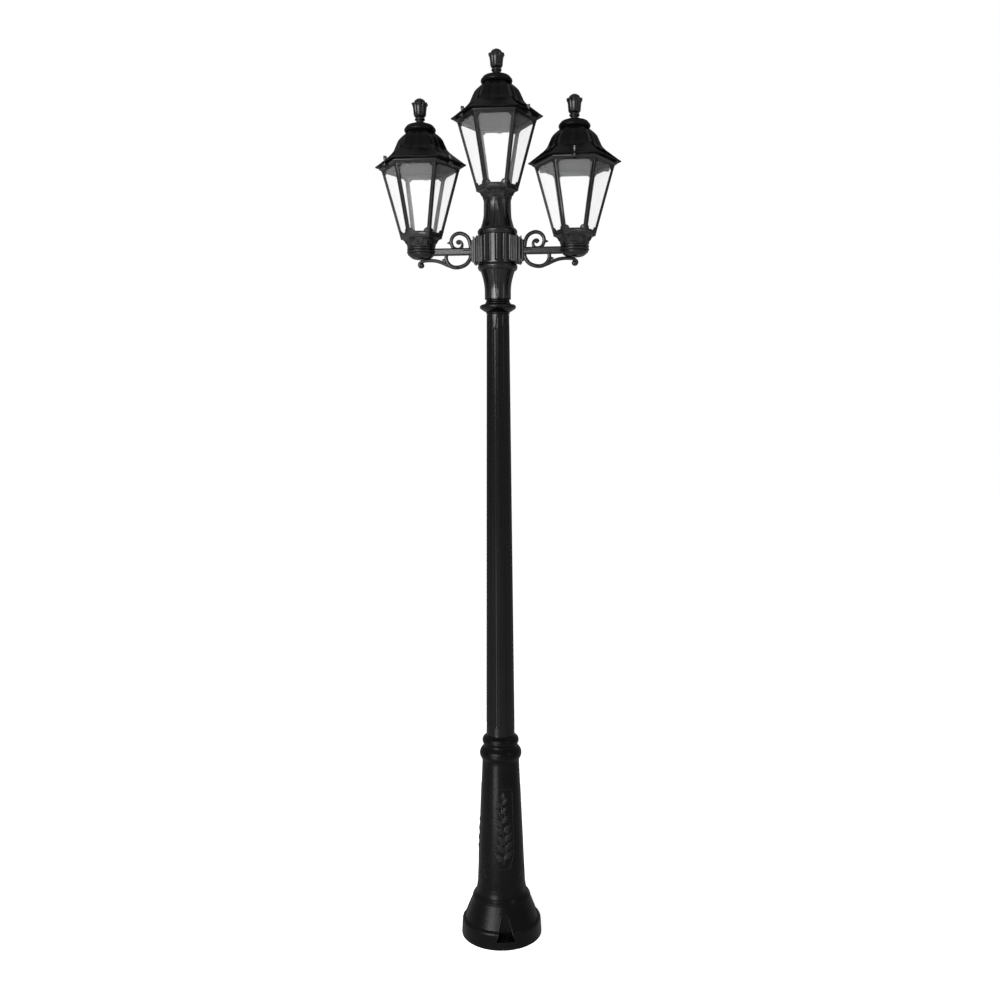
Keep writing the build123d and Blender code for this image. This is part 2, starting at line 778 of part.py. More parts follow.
def make_lampholder():
    low = FRAME_FLOOR
    holder = turned(
        (0, HOLDER_LOW_Z),
        (HOLDER_R - 6.0, HOLDER_LOW_Z),
        (HOLDER_R, HOLDER_LOW_Z + 8.0),
        (HOLDER_R, low),
        (HOLDER_FLANGE_R, low),
        (HOLDER_FLANGE_R, low + HOLDER_FLANGE_T),
        (HOLDER_R, low + HOLDER_FLANGE_T),
        (HOLDER_R, HOLDER_TOP_Z - 2.0),
        (HOLDER_R - 2.0, HOLDER_TOP_Z),
        (0, HOLDER_TOP_Z),
    )
    return holder - disc(HOLDER_BORE_R, HOLDER_TOP_Z - HOLDER_BORE_L, HOLDER_TOP_Z)


def roof_levels(inset):
    """Circumradii and heights of the roof's faces, moved in by a wall."""
    seat = ROOF_SEAT_Z
    return [
        (EAVE_R - inset, seat + EAVE_T),
        (SKIRT_R - inset, seat + SKIRT_H),
        (0.45 * SKIRT_R + 0.55 * WAIST_R - inset, seat + 0.55 * SKIRT_H + 0.45 * WAIST_H),
        (0.18 * SKIRT_R + 0.82 * WAIST_R - inset, seat + 0.25 * SKIRT_H + 0.75 * WAIST_H),
        (WAIST_R - inset, seat + WAIST_H),
        (0.3 * SHOULDER_R + 0.7 * WAIST_R - inset, seat + 0.3 * SHOULDER_H + 0.7 * WAIST_H),
        (SHOULDER_R - inset, seat + SHOULDER_H),
        (0.85 * SHOULDER_R + 0.15 * ROOF_TOP_R - inset, seat + 0.75 * SHOULDER_H + 0.25 * ROOF_H),
        (0.6 * SHOULDER_R + 0.4 * ROOF_TOP_R - inset, seat + 0.5 * SHOULDER_H + 0.5 * ROOF_H),
        (0.25 * SHOULDER_R + 0.75 * ROOF_TOP_R - inset, seat + 0.2 * SHOULDER_H + 0.8 * ROOF_H),
    ]


def lobe_groove():
    """Upright radial slit that follows the dome from its waist to its top."""
    ratio = math.cos(math.pi / 6) / math.cos(math.radians(LOBE_TURN))
    dome = roof_levels(0)[3:]
    inner = [(r * ratio - LOBE_GROOVE_DEPTH, z) for r, z in dome]
    outer = [(EAVE_R, inner[-1][1]), (EAVE_R, inner[0][1])]
    return extrude(bar_outline(inner + outer), LOBE_GROOVE_W / 2, both=True)


def make_roof():
    seat = ROOF_SEAT_Z
    eave = [(EAVE_R - 1.0, seat), (EAVE_R, seat + 1.5)]
    outside = hex_loft(*eave, *roof_levels(0), (ROOF_TOP_R, ROOF_TOP_Z))
    under = roof_levels(ROOF_WALL / math.cos(math.pi / 6))
    lid = (under[-1][0], ROOF_TOP_Z - ROOF_LID_T)
    inside = hex_loft((GASKET_IN_R, seat), (GASKET_IN_R, seat + EAVE_T), *under[2:-1], lid)
    roof = outside - inside
    for turn in (30 - LOBE_TURN, 30 + LOBE_TURN):
        for one in around(lobe_groove(), 6, turn):
            roof -= one
    roof -= disc(FINIAL_STUD_R + 0.2, ROOF_TOP_Z - ROOF_LID_T, ROOF_TOP_Z)
    pocket = Pos(THUMB_RADIUS, 0, 0) * disc(THUMB_POCKET_R, THUMB_SEAT_Z, THUMB_SEAT_Z + SKIRT_H)
    hole = Pos(THUMB_RADIUS, 0, 0) * disc(THUMB_R + 0.2, ROOF_SEAT_Z, THUMB_SEAT_Z)
    for angle in thumb_places():
        roof -= Rot(0, 0, angle) * (pocket + hole)
    return roof


def make_thumb_screws():
    screw = disc(THUMB_R, RIM_H - THUMB_GRIP, THUMB_SEAT_Z)
    screw += disc(THUMB_HEAD_R, THUMB_SEAT_Z, THUMB_SEAT_Z + THUMB_HEAD_H * 0.3)
    grip = disc(THUMB_HEAD_R, THUMB_SEAT_Z, THUMB_SEAT_Z + THUMB_HEAD_H)
    grip &= block((-THUMB_HEAD_R, THUMB_HEAD_R), (-1.8, 1.8), (THUMB_SEAT_Z, THUMB_SEAT_Z + THUMB_HEAD_H))
    screw += grip
    screw = Pos(THUMB_RADIUS, 0, 0) * screw
    return Compound(children=[Rot(0, 0, angle) * screw for angle in thumb_places()])


def make_cap():
    z = ROOF_TOP_Z
    cap = turned(
        (0, z),
        (ROOF_TOP_R - 6.0, z),
        (ROOF_TOP_R - 2.0, z + 1.5),
        (CAP_R - 1.0, z + 3.0),
        ((CAP_R + 0.4, z + 7.5), (CAP_R - 1.4, z + 12.0)),
        (CAP_R - 3.4, z + 13.0),
        ((CAP_R - 6.5, z + 18.0), (CAP_R - 13.0, z + 20.0)),
        (FINIAL_R - 3.0, z + CAP_H - 1.6),
        (FINIAL_R - 5.0, z + CAP_H),
        (0, z + CAP_H),
    )
    return cap - disc(FINIAL_STUD_R + 0.2, z, z + CAP_H)


def make_finial():
    z = ROOF_TOP_Z + CAP_H
    top = z + FINIAL_H
    finial = turned(
        (0, z),
        (14.6, z),
        (14.6, z + 2.5),
        ((9.2, z + 4.5), (9.4, z + 8.0)),
        ((13.4, z + 11.5), (10.4, z + 15.5)),
        (11.0, z + 18.0),
        (15.0, z + 23.0),
        (16.2, z + 29.0),
        (17.2, z + 41.0),
        (18.4, z + 48.0),
        (FINIAL_R, z + 52.5),
        (19.4, z + 57.0),
        (15.6, z + 61.0),
        (9.0, top - 1.8),
        (0, top),
    )
    slit = extrude(
        bar_outline(
            [
                (14.2, z + 22.0),
                (15.4, z + 40.0),
                (18.0, z + 52.0),
                (15.0, z + 58.0),
                (FINIAL_R + 2.0, z + 58.0),
                (FINIAL_R + 2.0, z + 22.0),
            ]
        ),
        FINIAL_SLIT / 2,
        both=True,
    )
    for one in around(slit, PETALS, 180 / PETALS):
        finial -= one
    stud = disc(FINIAL_STUD_R, ROOF_TOP_Z - ROOF_LID_T, z)
    return finial + stud


# --------------------------------------------------------------------- output
def save(shape, node):
    export_step(shape, f"parts/{node}.step")


SINGLE = {
    "foot_plate": make_foot_plate,
    "inner_mast": make_mast,
    "base_bell": make_bell,
    "base_shaft": make_shaft,
    "base_collar": make_collar,
    "pole_sleeve": make_pole,
    "pole_knop": make_knop,
    "hub_capital": make_capital,
    "hub_drum": make_drum,
    "terminal_block": make_block,
    "hub_neck": make_neck,
}

LANTERN = {
    "frame": make_frame,
    "diffuser": make_diffuser,
    "lampholder": make_lampholder,
    "gasket": make_gasket,
    "roof": make_roof,
    "thumb_screws": make_thumb_screws,
    "vent_cap": make_cap,
    "finial": make_finial,
}

# lantern name: place on X, height of its seat, turn about Z
LANTERN_PLACES = {
    "left": (-ARM_REACH, SIDE_SEAT, 60),
    "middle": (0, NECK_TOP, 60),
    "right": (ARM_REACH, SIDE_SEAT, 0),
}

for node, make in SINGLE.items():
    save(make(), node)

arm_pieces = {"arm": make_arm(), "arm_screws": make_arm_screws(), "socket_cup": make_socket_cup()}
for node, shape in arm_pieces.items():
    save(shape, node + "_right")
    save(mirror(shape, Plane.YZ), node + "_left")

for node, make in LANTERN.items():
    piece = make()
    for side, (x, z, turn) in LANTERN_PLACES.items():
        save(Pos(x, 0, z) * Rot(0, 0, turn) * piece, f"{node}_{side}")
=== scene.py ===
import math

import bmesh
import bpy
import numpy as np
from mathutils import Matrix, Vector


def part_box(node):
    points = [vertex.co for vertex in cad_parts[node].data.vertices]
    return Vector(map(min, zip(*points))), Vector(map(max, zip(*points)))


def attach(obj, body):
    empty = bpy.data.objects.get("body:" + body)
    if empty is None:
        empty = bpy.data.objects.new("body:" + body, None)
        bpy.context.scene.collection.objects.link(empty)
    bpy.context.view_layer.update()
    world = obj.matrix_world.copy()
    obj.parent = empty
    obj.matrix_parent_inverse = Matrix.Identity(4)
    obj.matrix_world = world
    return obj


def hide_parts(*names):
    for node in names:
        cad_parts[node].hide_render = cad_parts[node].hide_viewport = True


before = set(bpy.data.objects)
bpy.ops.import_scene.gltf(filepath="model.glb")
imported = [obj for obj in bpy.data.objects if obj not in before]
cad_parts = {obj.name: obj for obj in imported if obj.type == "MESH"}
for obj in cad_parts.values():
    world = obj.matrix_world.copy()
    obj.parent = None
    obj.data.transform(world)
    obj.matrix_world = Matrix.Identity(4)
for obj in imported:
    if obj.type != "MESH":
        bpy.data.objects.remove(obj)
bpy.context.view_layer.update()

# Forms are worked out in millimetres; MM turns them into the frame's metres.
MM = 0.001
TAU = 2 * math.pi
COS30 = math.cos(math.pi / 6)
FRONT = -90.0  # turn about Z that looks to the photograph's side
SIDES = ("left", "middle", "right")

# -------- the camera
CAMERA_DISTANCE = 2.704  # metres from the post's axis
CAMERA_HEIGHT = 1.421
CAMERA_AZIMUTH = math.radians(4.2)
CAMERA_PITCH = math.radians(4.37)  # downwards
CAMERA_ROLL = math.radians(-0.35)
CAMERA_AIM = math.radians(-0.05)  # small turn off the post's axis
CAMERA_LENS = 35.86
SENSOR_WIDTH = 36.0


# -------- sizes shared with the solids
def node_box(node):
    """Lowest and highest corner of a node, in millimetres."""
    low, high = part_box(node)
    return low / MM, high / MM


BELL_TOP = node_box("base_bell")[1].z
SHAFT_TOP = node_box("base_shaft")[1].z
KNOP_TOP = node_box("pole_knop")[1].z
CAPITAL_TOP = node_box("hub_capital")[1].z
DRUM_TOP = node_box("hub_drum")[1].z
NECK_TOP = node_box("hub_neck")[1].z
SEAT = {side: node_box("frame_" + side)[0].z for side in SIDES}
AXIS_X = {side: sum(corner.x for corner in node_box("frame_" + side)) / 2 for side in SIDES}
TURN = {"left": 60.0, "middle": 60.0, "right": 0.0}  # each lantern about its own axis
BASE_TURN = 10.0  # the base's panels, off the front


# -------- profiles and places
IN_LINE = 1e-9


def arc_points(a, b, c, count):
    """Points after a on the arc from a through b to c."""
    (ax, ay), (bx, by), (cx, cy) = a, b, c
    d = 2 * (ax * (by - cy) + bx * (cy - ay) + cx * (ay - by))
    if abs(d) < IN_LINE:
        return [c]
    a2 = ax**2 + ay**2
    b2 = bx**2 + by**2
    c2 = cx**2 + cy**2
    ux = (a2 * (by - cy) + b2 * (cy - ay) + c2 * (ay - by)) / d
    uy = (a2 * (cx - bx) + b2 * (ax - cx) + c2 * (bx - ax)) / d
    radius = math.dist((ux, uy), a)
    start = math.atan2(ay - uy, ax - ux)
    middle = (math.atan2(by - uy, bx - ux) - start) % TAU
    sweep = (math.atan2(cy - uy, cx - ux) - start) % TAU
    if middle > sweep:
        sweep -= TAU
    angles = [start + sweep * i / count for i in range(1, count + 1)]
    return [(ux + radius * math.cos(t), uy + radius * math.sin(t)) for t in angles]


def outline(start, *steps, arc=8):
    """Profile points. A step is (r, z), or (mid point, end point) for an arc."""
    points = [start]
    for step in steps:
        if isinstance(step[0], tuple):
            points += arc_points(points[-1], step[0], step[1], arc)
        else:
            points.append(step)
    return points


def refined(points, longest):
    """The same profile with no step longer than a length."""
    result = [points[0]]
    for (r0, z0), (r1, z1) in zip(points, points[1:]):
        parts = max(1, math.ceil(math.dist((r0, z0), (r1, z1)) / longest))
        for k in range(1, parts + 1):
            result.append((r0 + (r1 - r0) * k / parts, z0 + (z1 - z0) * k / parts))
    return result


def raised(points, height):
    """The same profile, lifted."""
    return [(r, height + z) for r, z in points]


def radius_at(z, levels):
    """Radius at a height, between (r, z) levels given lowest first."""
    return float(np.interp(z, [level[1] for level in levels], [level[0] for level in levels]))


def turned(turn, along, across, z):
    """Point at distances along and across a turn about Z, in degrees."""
    angle = math.radians(turn)
    return (
        along * math.cos(angle) - across * math.sin(angle),
        along * math.sin(angle) + across * math.cos(angle),
        z,
    )


def outward(turn, rise=0.0):
    """Direction that looks out at a turn about Z, with a rise."""
    return turned(turn, 1.0, 0.0, rise)


def even_angles(count):
    return np.arange(count) * TAU / count


# -------- meshes
SHARP = 35.0  # degrees between faces where an edge stays sharp
CAD_SHARP = 30.0
WELD_GAP = 1e-5  # metres
FLAT_ANGLE = 1.0  # facets within this many degrees become one face


def piece(name, mesh, sharp=SHARP):
    """Object for a mesh, smooth but for its sharp edges."""
    mesh.polygons.foreach_set("use_smooth", [True] * len(mesh.polygons))
    mesh.set_sharp_from_angle(angle=math.radians(sharp))
    obj = bpy.data.objects.new(name, mesh)
    bpy.context.scene.collection.objects.link(obj)
    return obj


def mesh_from(name, verts, faces):
    """Mesh from points in millimetres and faces of their numbers."""
    mesh = bpy.data.meshes.new(name)
    mesh.from_pydata((np.asarray(verts, float) * MM).tolist(), [], faces)
    mesh.update()
    return mesh


def ring_mesh(name, rings, loop=False):
    """Mesh through rings of points; its faces look out where the rings go up."""
    rings = np.asarray(rings, float)
    count, around = rings.shape[:2]
    i = np.arange(count if loop else count - 1)[:, None]
    j = np.arange(around)[None, :]
    up = (i + 1) % count
    over = (j + 1) % around
    quads = np.stack([i * around + j, i * around + over, up * around + over, up * around + j], -1)
    faces = quads.reshape(-1, 4).tolist()
    if not loop:
        faces.append(list(range(around))[::-1])
        faces.append(list(range((count - 1) * around, count * around)))
    return mesh_from(name, rings.reshape(-1, 3), faces)


def finished(name, work):
    """Mesh from a bmesh, which is freed."""
    mesh = bpy.data.meshes.new(name)
    work.to_mesh(mesh)
    work.free()
    return mesh


def grid_mesh(name, verts, rows, columns):
    """Open sheet through rows of points."""
    i, j = np.meshgrid(np.arange(rows - 1), np.arange(columns - 1), indexing="ij")
    first = i * columns + j
    faces = np.stack([first, first + 1, first + columns + 1, first + columns], -1)
    return mesh_from(name, verts, faces.reshape(-1, 4).tolist())


def polar_rings(profile, angles, shape=None):
    """Rings about Z for a profile; shape(angles, r, z) may change the radius."""
    rings = []
    for r, z in profile:
        radius = np.full(len(angles), float(r)) if shape is None else shape(angles, r, z)
        level = np.full(len(angles), z)
        rings.append(np.stack([radius * np.cos(angles), radius * np.sin(angles), level], -1))
    return rings


def lathe(name, profile, count, shape=None, sharp=SHARP):
    """Piece turned about Z from a closed profile."""
    return piece(name, ring_mesh(name, polar_rings(profile, even_angles(count), shape), loop=True), sharp)


def tube(name, path, width, height, up=(0, 0, 1), closed=False, sides=10, taper=None):
    """Bar with an oval section along a path."""
    path = np.asarray(path, float)
    count = len(path)
    ahead = np.roll(path, -1, 0) - np.roll(path, 1, 0)
    if not closed:
        ahead[0] = path[1] - path[0]
        ahead[-1] = path[-1] - path[-2]
    ahead /= np.linalg.norm(ahead, axis=1)[:, None]
    side = np.cross(ahead, np.asarray(up, float))
    side /= np.linalg.norm(side, axis=1)[:, None]
    top = np.cross(side, ahead)
    scale = np.ones(count) if taper is None else np.asarray(taper, float)
    angles = even_angles(sides)
    rings = []
    for k in range(count):
        wide = np.outer(np.cos(angles), side[k]) * width / 2
        high = np.outer(np.sin(angles), top[k]) * height / 2
        rings.append(path[k] + scale[k] * (wide + high))
    return ring_mesh(name, rings, loop=closed)


def box_mesh(name, x, half_y, z):
    """Block for rounding, between pairs of x and z and alike on both sides in y."""
    work = bmesh.new()
    bmesh.ops.create_cube(work, size=1.0)
    for vert in work.verts:
        ends = zip((x, (-half_y, half_y), z), vert.co)
        vert.co = Vector([(low + high) / 2 + at * (high - low) for (low, high), at in ends]) * MM
    return finished(name, work)


def ball_mesh(name, centre, radius, flat=1.0):
    """Ball that may be flattened in y."""
    work = bmesh.new()
    bmesh.ops.create_uvsphere(work, u_segments=20, v_segments=12, radius=radius * MM)
    for vert in work.verts:
        vert.co.y *= flat
        vert.co += Vector(centre) * MM
    return finished(name, work)


def merged(name, meshes, sharp=SHARP):
    """One piece from several meshes."""
    work = bmesh.new()
    for mesh in meshes:
        work.from_mesh(mesh)
    bmesh.ops.recalc_face_normals(work, faces=work.faces)
    mesh = finished(name, work)
    for old in meshes:
        bpy.data.meshes.remove(old)
    return piece(name, mesh, sharp)


def cad_copy(node, name):
    """Piece with a node's form, its facets joined and its small steps smooth."""
    work = bmesh.new()
    work.from_mesh(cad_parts[node].data)
    bmesh.ops.remove_doubles(work, verts=work.verts, dist=WELD_GAP)
    bmesh.ops.dissolve_limit(
        work, angle_limit=math.radians(FLAT_ANGLE), verts=work.verts, edges=work.edges,
        use_dissolve_boundaries=False,
    )
    return piece(name, finished(name, work), CAD_SHARP)


def rounded(obj, width, segments=2, angle=28.0):
    """Small rounding on the sharp edges, in millimetres."""
    bevel = obj.modifiers.new("edges", "BEVEL")
    bevel.width = width * MM
    bevel.segments = segments
    bevel.limit_method = "ANGLE"
    bevel.angle_limit = math.radians(angle)
    bevel.harden_normals = True


def cut_by(obj, cutter):
    """Takes one piece out of another and removes it."""
    modifier = obj.modifiers.new("cut", "BOOLEAN")
    modifier.operation = "DIFFERENCE"
    modifier.object = cutter
    modifier.solver = "EXACT"
    graph = bpy.context.evaluated_depsgraph_get()
    mesh = bpy.data.meshes.new_from_object(obj.evaluated_get(graph))
    obj.modifiers.remove(modifier)
    uncut = obj.data
    obj.data = mesh
    bpy.data.meshes.remove(uncut)
    tool = cutter.data
    bpy.data.objects.remove(cutter)
    bpy.data.meshes.remove(tool)


# -------- materials
def shader(name, colour, roughness, metallic=0.0):
    """New material with its principled shader."""
    material = bpy.data.materials.new(name)
    material.use_nodes = True
    principled = material.node_tree.nodes["Principled BSDF"]
    principled.inputs["Base Color"].default_value = (*colour, 1.0)
    principled.inputs["Roughness"].default_value = roughness
    principled.inputs["Metallic"].default_value = metallic
    return material, principled


def add(material, kind, **values):
    """Adds a node and sets its properties and input values."""
    node = material.node_tree.nodes.new(kind)
    for key, value in values.items():
        if hasattr(node, key):
            setattr(node, key, value)
        else:
            node.inputs[key.replace("_", " ")].default_value = value
    return node


def link(material, source, target):
    material.node_tree.links.new(source, target)


def object_place(material, stretch=(1.0, 1.0, 1.0)):
    """Place on the piece, scaled along its axes."""
    place = add(material, "ShaderNodeTexCoord")
    scaled = add(material, "ShaderNodeMapping")
    scaled.inputs["Scale"].default_value = stretch
    link(material, place.outputs["Object"], scaled.inputs["Vector"])
    return scaled.outputs["Vector"]


def noise(material, vector, size, detail=3.0, rough=0.6):
    """Noise whose spots are about a size in millimetres."""
    node = add(material, "ShaderNodeTexNoise", Scale=1 / (size * MM), Detail=detail, Roughness=rough)
    link(material, vector, node.inputs["Vector"])
    return node.outputs["Fac"]


def ramp(material, factor, *stops):
    """Grey or colour ramp from (position, colour) stops."""
    node = add(material, "ShaderNodeValToRGB")
    elements = node.color_ramp.elements
    while len(elements) < len(stops):
        elements.new(0.5)
    for element, (position, colour) in zip(elements, stops):
        element.position = position
        element.color = (*colour, 1.0) if isinstance(colour, tuple) else (colour, colour, colour, 1.0)
    link(material, factor, node.inputs["Fac"])
    return node.outputs["Color"]


def bumps(material, principled, *layers):
    """Chain of bumps, each (height output, depth in millimetres)."""
    before = None
    for height, depth in layers:
        node = add(material, "ShaderNodeBump", Strength=1.0, Distance=depth * MM)
        link(material, height, node.inputs["Height"])
        if before is not None:
            link(material, before, node.inputs["Normal"])
        before = node.outputs["Normal"]
    link(material, before, principled.inputs["Normal"])


def feed(material, principled, **sources):
    """Links node outputs to inputs of the principled shader."""
    for key, source in sources.items():
        link(material, source, principled.inputs[key.replace("_", " ")])


def shaded(share, colour):
    return tuple(share * c for c in colour)


def worn_tone(material, tone, light):
    """The tone, paler on edges and corners where the resin is rubbed."""
    edge = add(material, "ShaderNodeNewGeometry")
    worn = ramp(material, edge.outputs["Pointiness"], (0.51, 0.0), (0.6, 1.0))
    mix = add(material, "ShaderNodeMix", data_type="RGBA")
    mix.inputs["B"].default_value = (2.6 * light, 2.6 * light, 2.65 * light, 1.0)
    link(material, worn, mix.inputs["Factor"])
    link(material, tone, mix.inputs["A"])
    return mix.outputs["Result"]


def black_resin(name, grain, depth, roughness, index, dark, light):
    """Black moulded resin: cloudy tone, worn edges and a cast grain."""
    material, principled = shader(name, (light, light, light), roughness)
    principled.inputs["IOR"].default_value = index
    place = object_place(material)
    cloud = noise(material, place, size=60.0, detail=4.0)
    fine = noise(material, place, size=grain, detail=4.0, rough=0.65)
    coarse = noise(material, place, size=grain * 2.6, detail=2.0)
    tone = ramp(material, cloud, (0.3, dark), (0.7, light))
    worn = worn_tone(material, tone, light)
    gloss = ramp(material, fine, (0.35, roughness - 0.08), (0.65, roughness + 0.1))
    # Reflection fades where the face turns away, so that the white room leaves no bright rim.
    weight = add(material, "ShaderNodeLayerWeight", Blend=0.5)
    sheen = ramp(material, weight.outputs["Facing"], (0.12, 0.5), (0.5, 0.2), (0.85, 0.0))
    feed(material, principled, Base_Color=worn, Roughness=gloss, Specular_IOR_Level=sheen)
    bumps(material, principled, (coarse, depth * 1.4), (fine, depth))
    return material


def pane_plastic():
    """Thin clear plastic with a slight milkiness and faint upright waves."""
    material, principled = shader("pane_plastic", (0.80, 0.81, 0.81), 0.18)
    place = object_place(material, stretch=(1.0, 1.0, 0.15))
    waves = noise(material, place, size=14.0, detail=2.0)
    haze = ramp(material, waves, (0.3, 0.064), (0.7, 0.072))
    tint = ramp(material, waves, (0.3, (0.78, 0.79, 0.79)), (0.7, (0.83, 0.835, 0.83)))
    feed(material, principled, Alpha=haze, Base_Color=tint)
    principled.inputs["IOR"].default_value = 1.45
    bumps(material, principled, (waves, 0.08))
    return material


def steel(name, colour, roughness, stretch=(1.0, 1.0, 1.0)):
    """Steel with fine scratches, drawn out along an axis whose stretch is small."""
    material, principled = shader(name, colour, roughness, metallic=1.0)
    lines = noise(material, object_place(material, stretch), size=1.2)
    spots = noise(material, object_place(material), size=9.0)
    tone = ramp(material, spots, (0.35, shaded(0.8, colour)), (0.65, colour))
    gloss = ramp(material, lines, (0.3, roughness - 0.08), (0.7, roughness + 0.12))
    feed(material, principled, Base_Color=tone, Roughness=gloss)
    bumps(material, principled, (lines, 0.05))
    return material


def plain_plastic(name, colour, roughness, grain, depth):
    """Pale or dark moulded part with a slight cloudiness."""
    material, principled = shader(name, colour, roughness)
    place = object_place(material)
    cloud = noise(material, place, size=12.0)
    fine = noise(material, place, size=grain)
    tone = ramp(material, cloud, (0.3, shaded(0.86, colour)), (0.7, colour))
    gloss = ramp(material, fine, (0.3, roughness), (0.7, roughness + 0.12))
    feed(material, principled, Base_Color=tone, Roughness=gloss)
    bumps(material, principled, (fine, depth))
    return material


# Grain and depth are in millimetres.
RESIN = black_resin(
    "cast_resin", grain=3.4, depth=0.028, roughness=0.19, index=1.20, dark=0.0006, light=0.0015)
BASE_RESIN = black_resin(
    "base_resin", grain=3.4, depth=0.040, roughness=0.26, index=1.145, dark=0.0006, light=0.0016)
# Lighter copy of the base resin for the leaf relief and the panel lines: a painted highlight, so that they
# read as if a band of light lay over them.
RELIEF_RESIN_PAINTED_HIGHLIGHT = black_resin(
    "relief_resin_painted_highlight", grain=3.4, depth=0.040, roughness=0.22, index=1.19, dark=0.002, light=0.0045)
# Glossier copy of the resin for hub, arms, cups, frames and finials. Its tone, over twice the pole's, is
# painted light for the stronger light on these parts.
SATIN_RESIN_PAINTED_LIT = black_resin(
    "satin_resin_painted_lit", grain=2.0, depth=0.008, roughness=0.21, index=1.28, dark=0.0015, light=0.0035)
ROOF_RESIN = black_resin(
    "roof_resin", grain=2.0, depth=0.012, roughness=0.28, index=1.13, dark=0.0015, light=0.003)
PANE = pane_plastic()
ZINC_STEEL = steel("zinc_steel", (0.50, 0.51, 0.52), roughness=0.42, stretch=(1.0, 1.0, 0.1))
DARK_STEEL = steel("dark_steel", (0.09, 0.09, 0.09), roughness=0.38)
GLAZED = plain_plastic("glazed_white", (0.80, 0.79, 0.75), roughness=0.22, grain=3.0, depth=0.02)
BLOCK_WHITE = plain_plastic("block_white", (0.72, 0.72, 0.69), roughness=0.45, grain=1.0, depth=0.03)
RUBBER = plain_plastic("seal_rubber", (0.02, 0.02, 0.021), roughness=0.7, grain=0.8, depth=0.05)


# -------- dress
def wear(obj, material, body="post"):
    """Gives a piece its material, slot and body."""
    obj.data.materials.clear()
    obj.data.materials.append(material)
    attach(obj, body)


def stand_in(obj, node, material, bevel, body="post"):
    """Rounds and dresses a piece that takes a node's place."""
    rounded(obj, bevel)
    wear(obj, material, body)
    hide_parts(node)


def simple_copy(node, material, bevel=0.5, body="post"):
    """Smooth, edge-rounded copy in a node's place."""
    stand_in(cad_copy(node, node + "_skin"), node, material, bevel, body)


def paint_node(node, material):
    """New material on a node that stays."""
    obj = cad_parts[node]
    obj.data.materials.clear()
    obj.data.materials.append(material)


def on_lantern(name, mesh, side, material, body, node=None, sharp=SHARP):
    """Sets a copy of a mesh made about an axis and seat on one of the lanterns."""
    mesh = mesh.copy()
    mesh.transform(Matrix.Rotation(math.radians(TURN[side]), 4, "Z"))
    obj = piece(name + "_" + side, mesh, sharp)
    obj.location = (AXIS_X[side] * MM, 0, SEAT[side] * MM)
    wear(obj, material, body)
    if node:
        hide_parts(node)
    return obj


def cut_on_lantern(obj, side, name, cutters):
    """Cuts a lantern's piece by meshes made about the same axis and seat."""
    cutter = merged(name, cutters)
    cutter.location = (AXIS_X[side] * MM, 0, SEAT[side] * MM)
    cutter.rotation_euler = (0, 0, math.radians(TURN[side]))
    bpy.context.view_layer.update()
    cut_by(obj, cutter)


# -------- the shaft
SHAFT_FOOT_R = 71.0
SHAFT_LOW_R = 66.4
SHAFT_LOW_Z = BELL_TOP + 20.0
SHAFT_HIGH_R = 50.8
SHAFT_WALL = 8.0
PANELS = 3
PANEL_TURNS = [FRONT + BASE_TURN + 360 / PANELS * k for k in range(PANELS)]
PANEL_LOW = BELL_TOP + 84.0
PANEL_HIGH = BELL_TOP + 305.0
LINE_LIFT = 0.1

RELIEF_LOW = BELL_TOP + 90.0
RELIEF_HIGH = BELL_TOP + 298.0
RELIEF_HALF = 29.0
RELIEF_SINK = 0.7
RELIEF_EDGE = 3.0
RELIEF_ROWS = 300
RELIEF_COLUMNS = 110
LEAF_PAIRS = 7
LEAF_RISE = 3.4
MIDRIB_WIDTH = 0.9
STEM_SWAY = 5.0
STEM_BENDS = 2.2
STEM_HALF = 1.9
STEM_RISE = 2.0
BERRY_R = 3.6
BERRIES = 5
NO_WIDTH = 1e-3  # keeps a shrinking width off nought


def shaft_radius(z):
    share = (z - SHAFT_LOW_Z) / (SHAFT_TOP - SHAFT_LOW_Z)
    return SHAFT_LOW_R + share * (SHAFT_HIGH_R - SHAFT_LOW_R)


def on_shaft(turn, across, z):
    """Point just off the shaft at a width from a panel's middle."""
    radius = shaft_radius(z)
    angle = math.radians(turn) + across / radius
    return ((radius + LINE_LIFT) * math.cos(angle), (radius + LINE_LIFT) * math.sin(angle), z)


def leaf_height(u, v, root, lean, length, width):
    """Relief of one pointed leaf with a wavy edge, a sunk midrib and side veins."""
    angle = math.radians(lean)
    along = (u - root[0]) * math.sin(angle) + (v - root[1]) * math.cos(angle)
    across = (u - root[0]) * math.cos(angle) - (v - root[1]) * math.sin(angle)
    share = np.clip(along / length, 0.0, 1.0)
    waves = 1.0 + 0.16 * np.sin(share * 22.0)
    half = 0.5 * width * np.sin(math.pi * share**0.75) * waves + NO_WIDTH
    inside = np.clip(1.0 - (across / half) ** 2, 0.0, 1.0)
    crown = LEAF_RISE * np.sqrt(inside) * (0.55 + 0.45 * np.sin(math.pi * share))
    midrib = MIDRIB_WIDTH * np.exp(-((across / MIDRIB_WIDTH) ** 2))
    veins = 0.35 * np.sin((along - 1.3 * np.abs(across)) * 1.5)
    on_leaf = (along > 0) & (along < length) & (inside > 0)
    return np.where(on_leaf, crown - midrib + veins * inside, 0.0)


def berry_height(u, v, centre):
    gap = (u - centre[0]) ** 2 + (v - centre[1]) ** 2
    return np.sqrt(np.clip(BERRY_R**2 - gap, 0.0, None)) * 0.85


def stem_place(share):
    """How far the stem stands off the panel's middle at a share of its height."""
    return STEM_SWAY * np.sin(share * STEM_BENDS * math.pi)


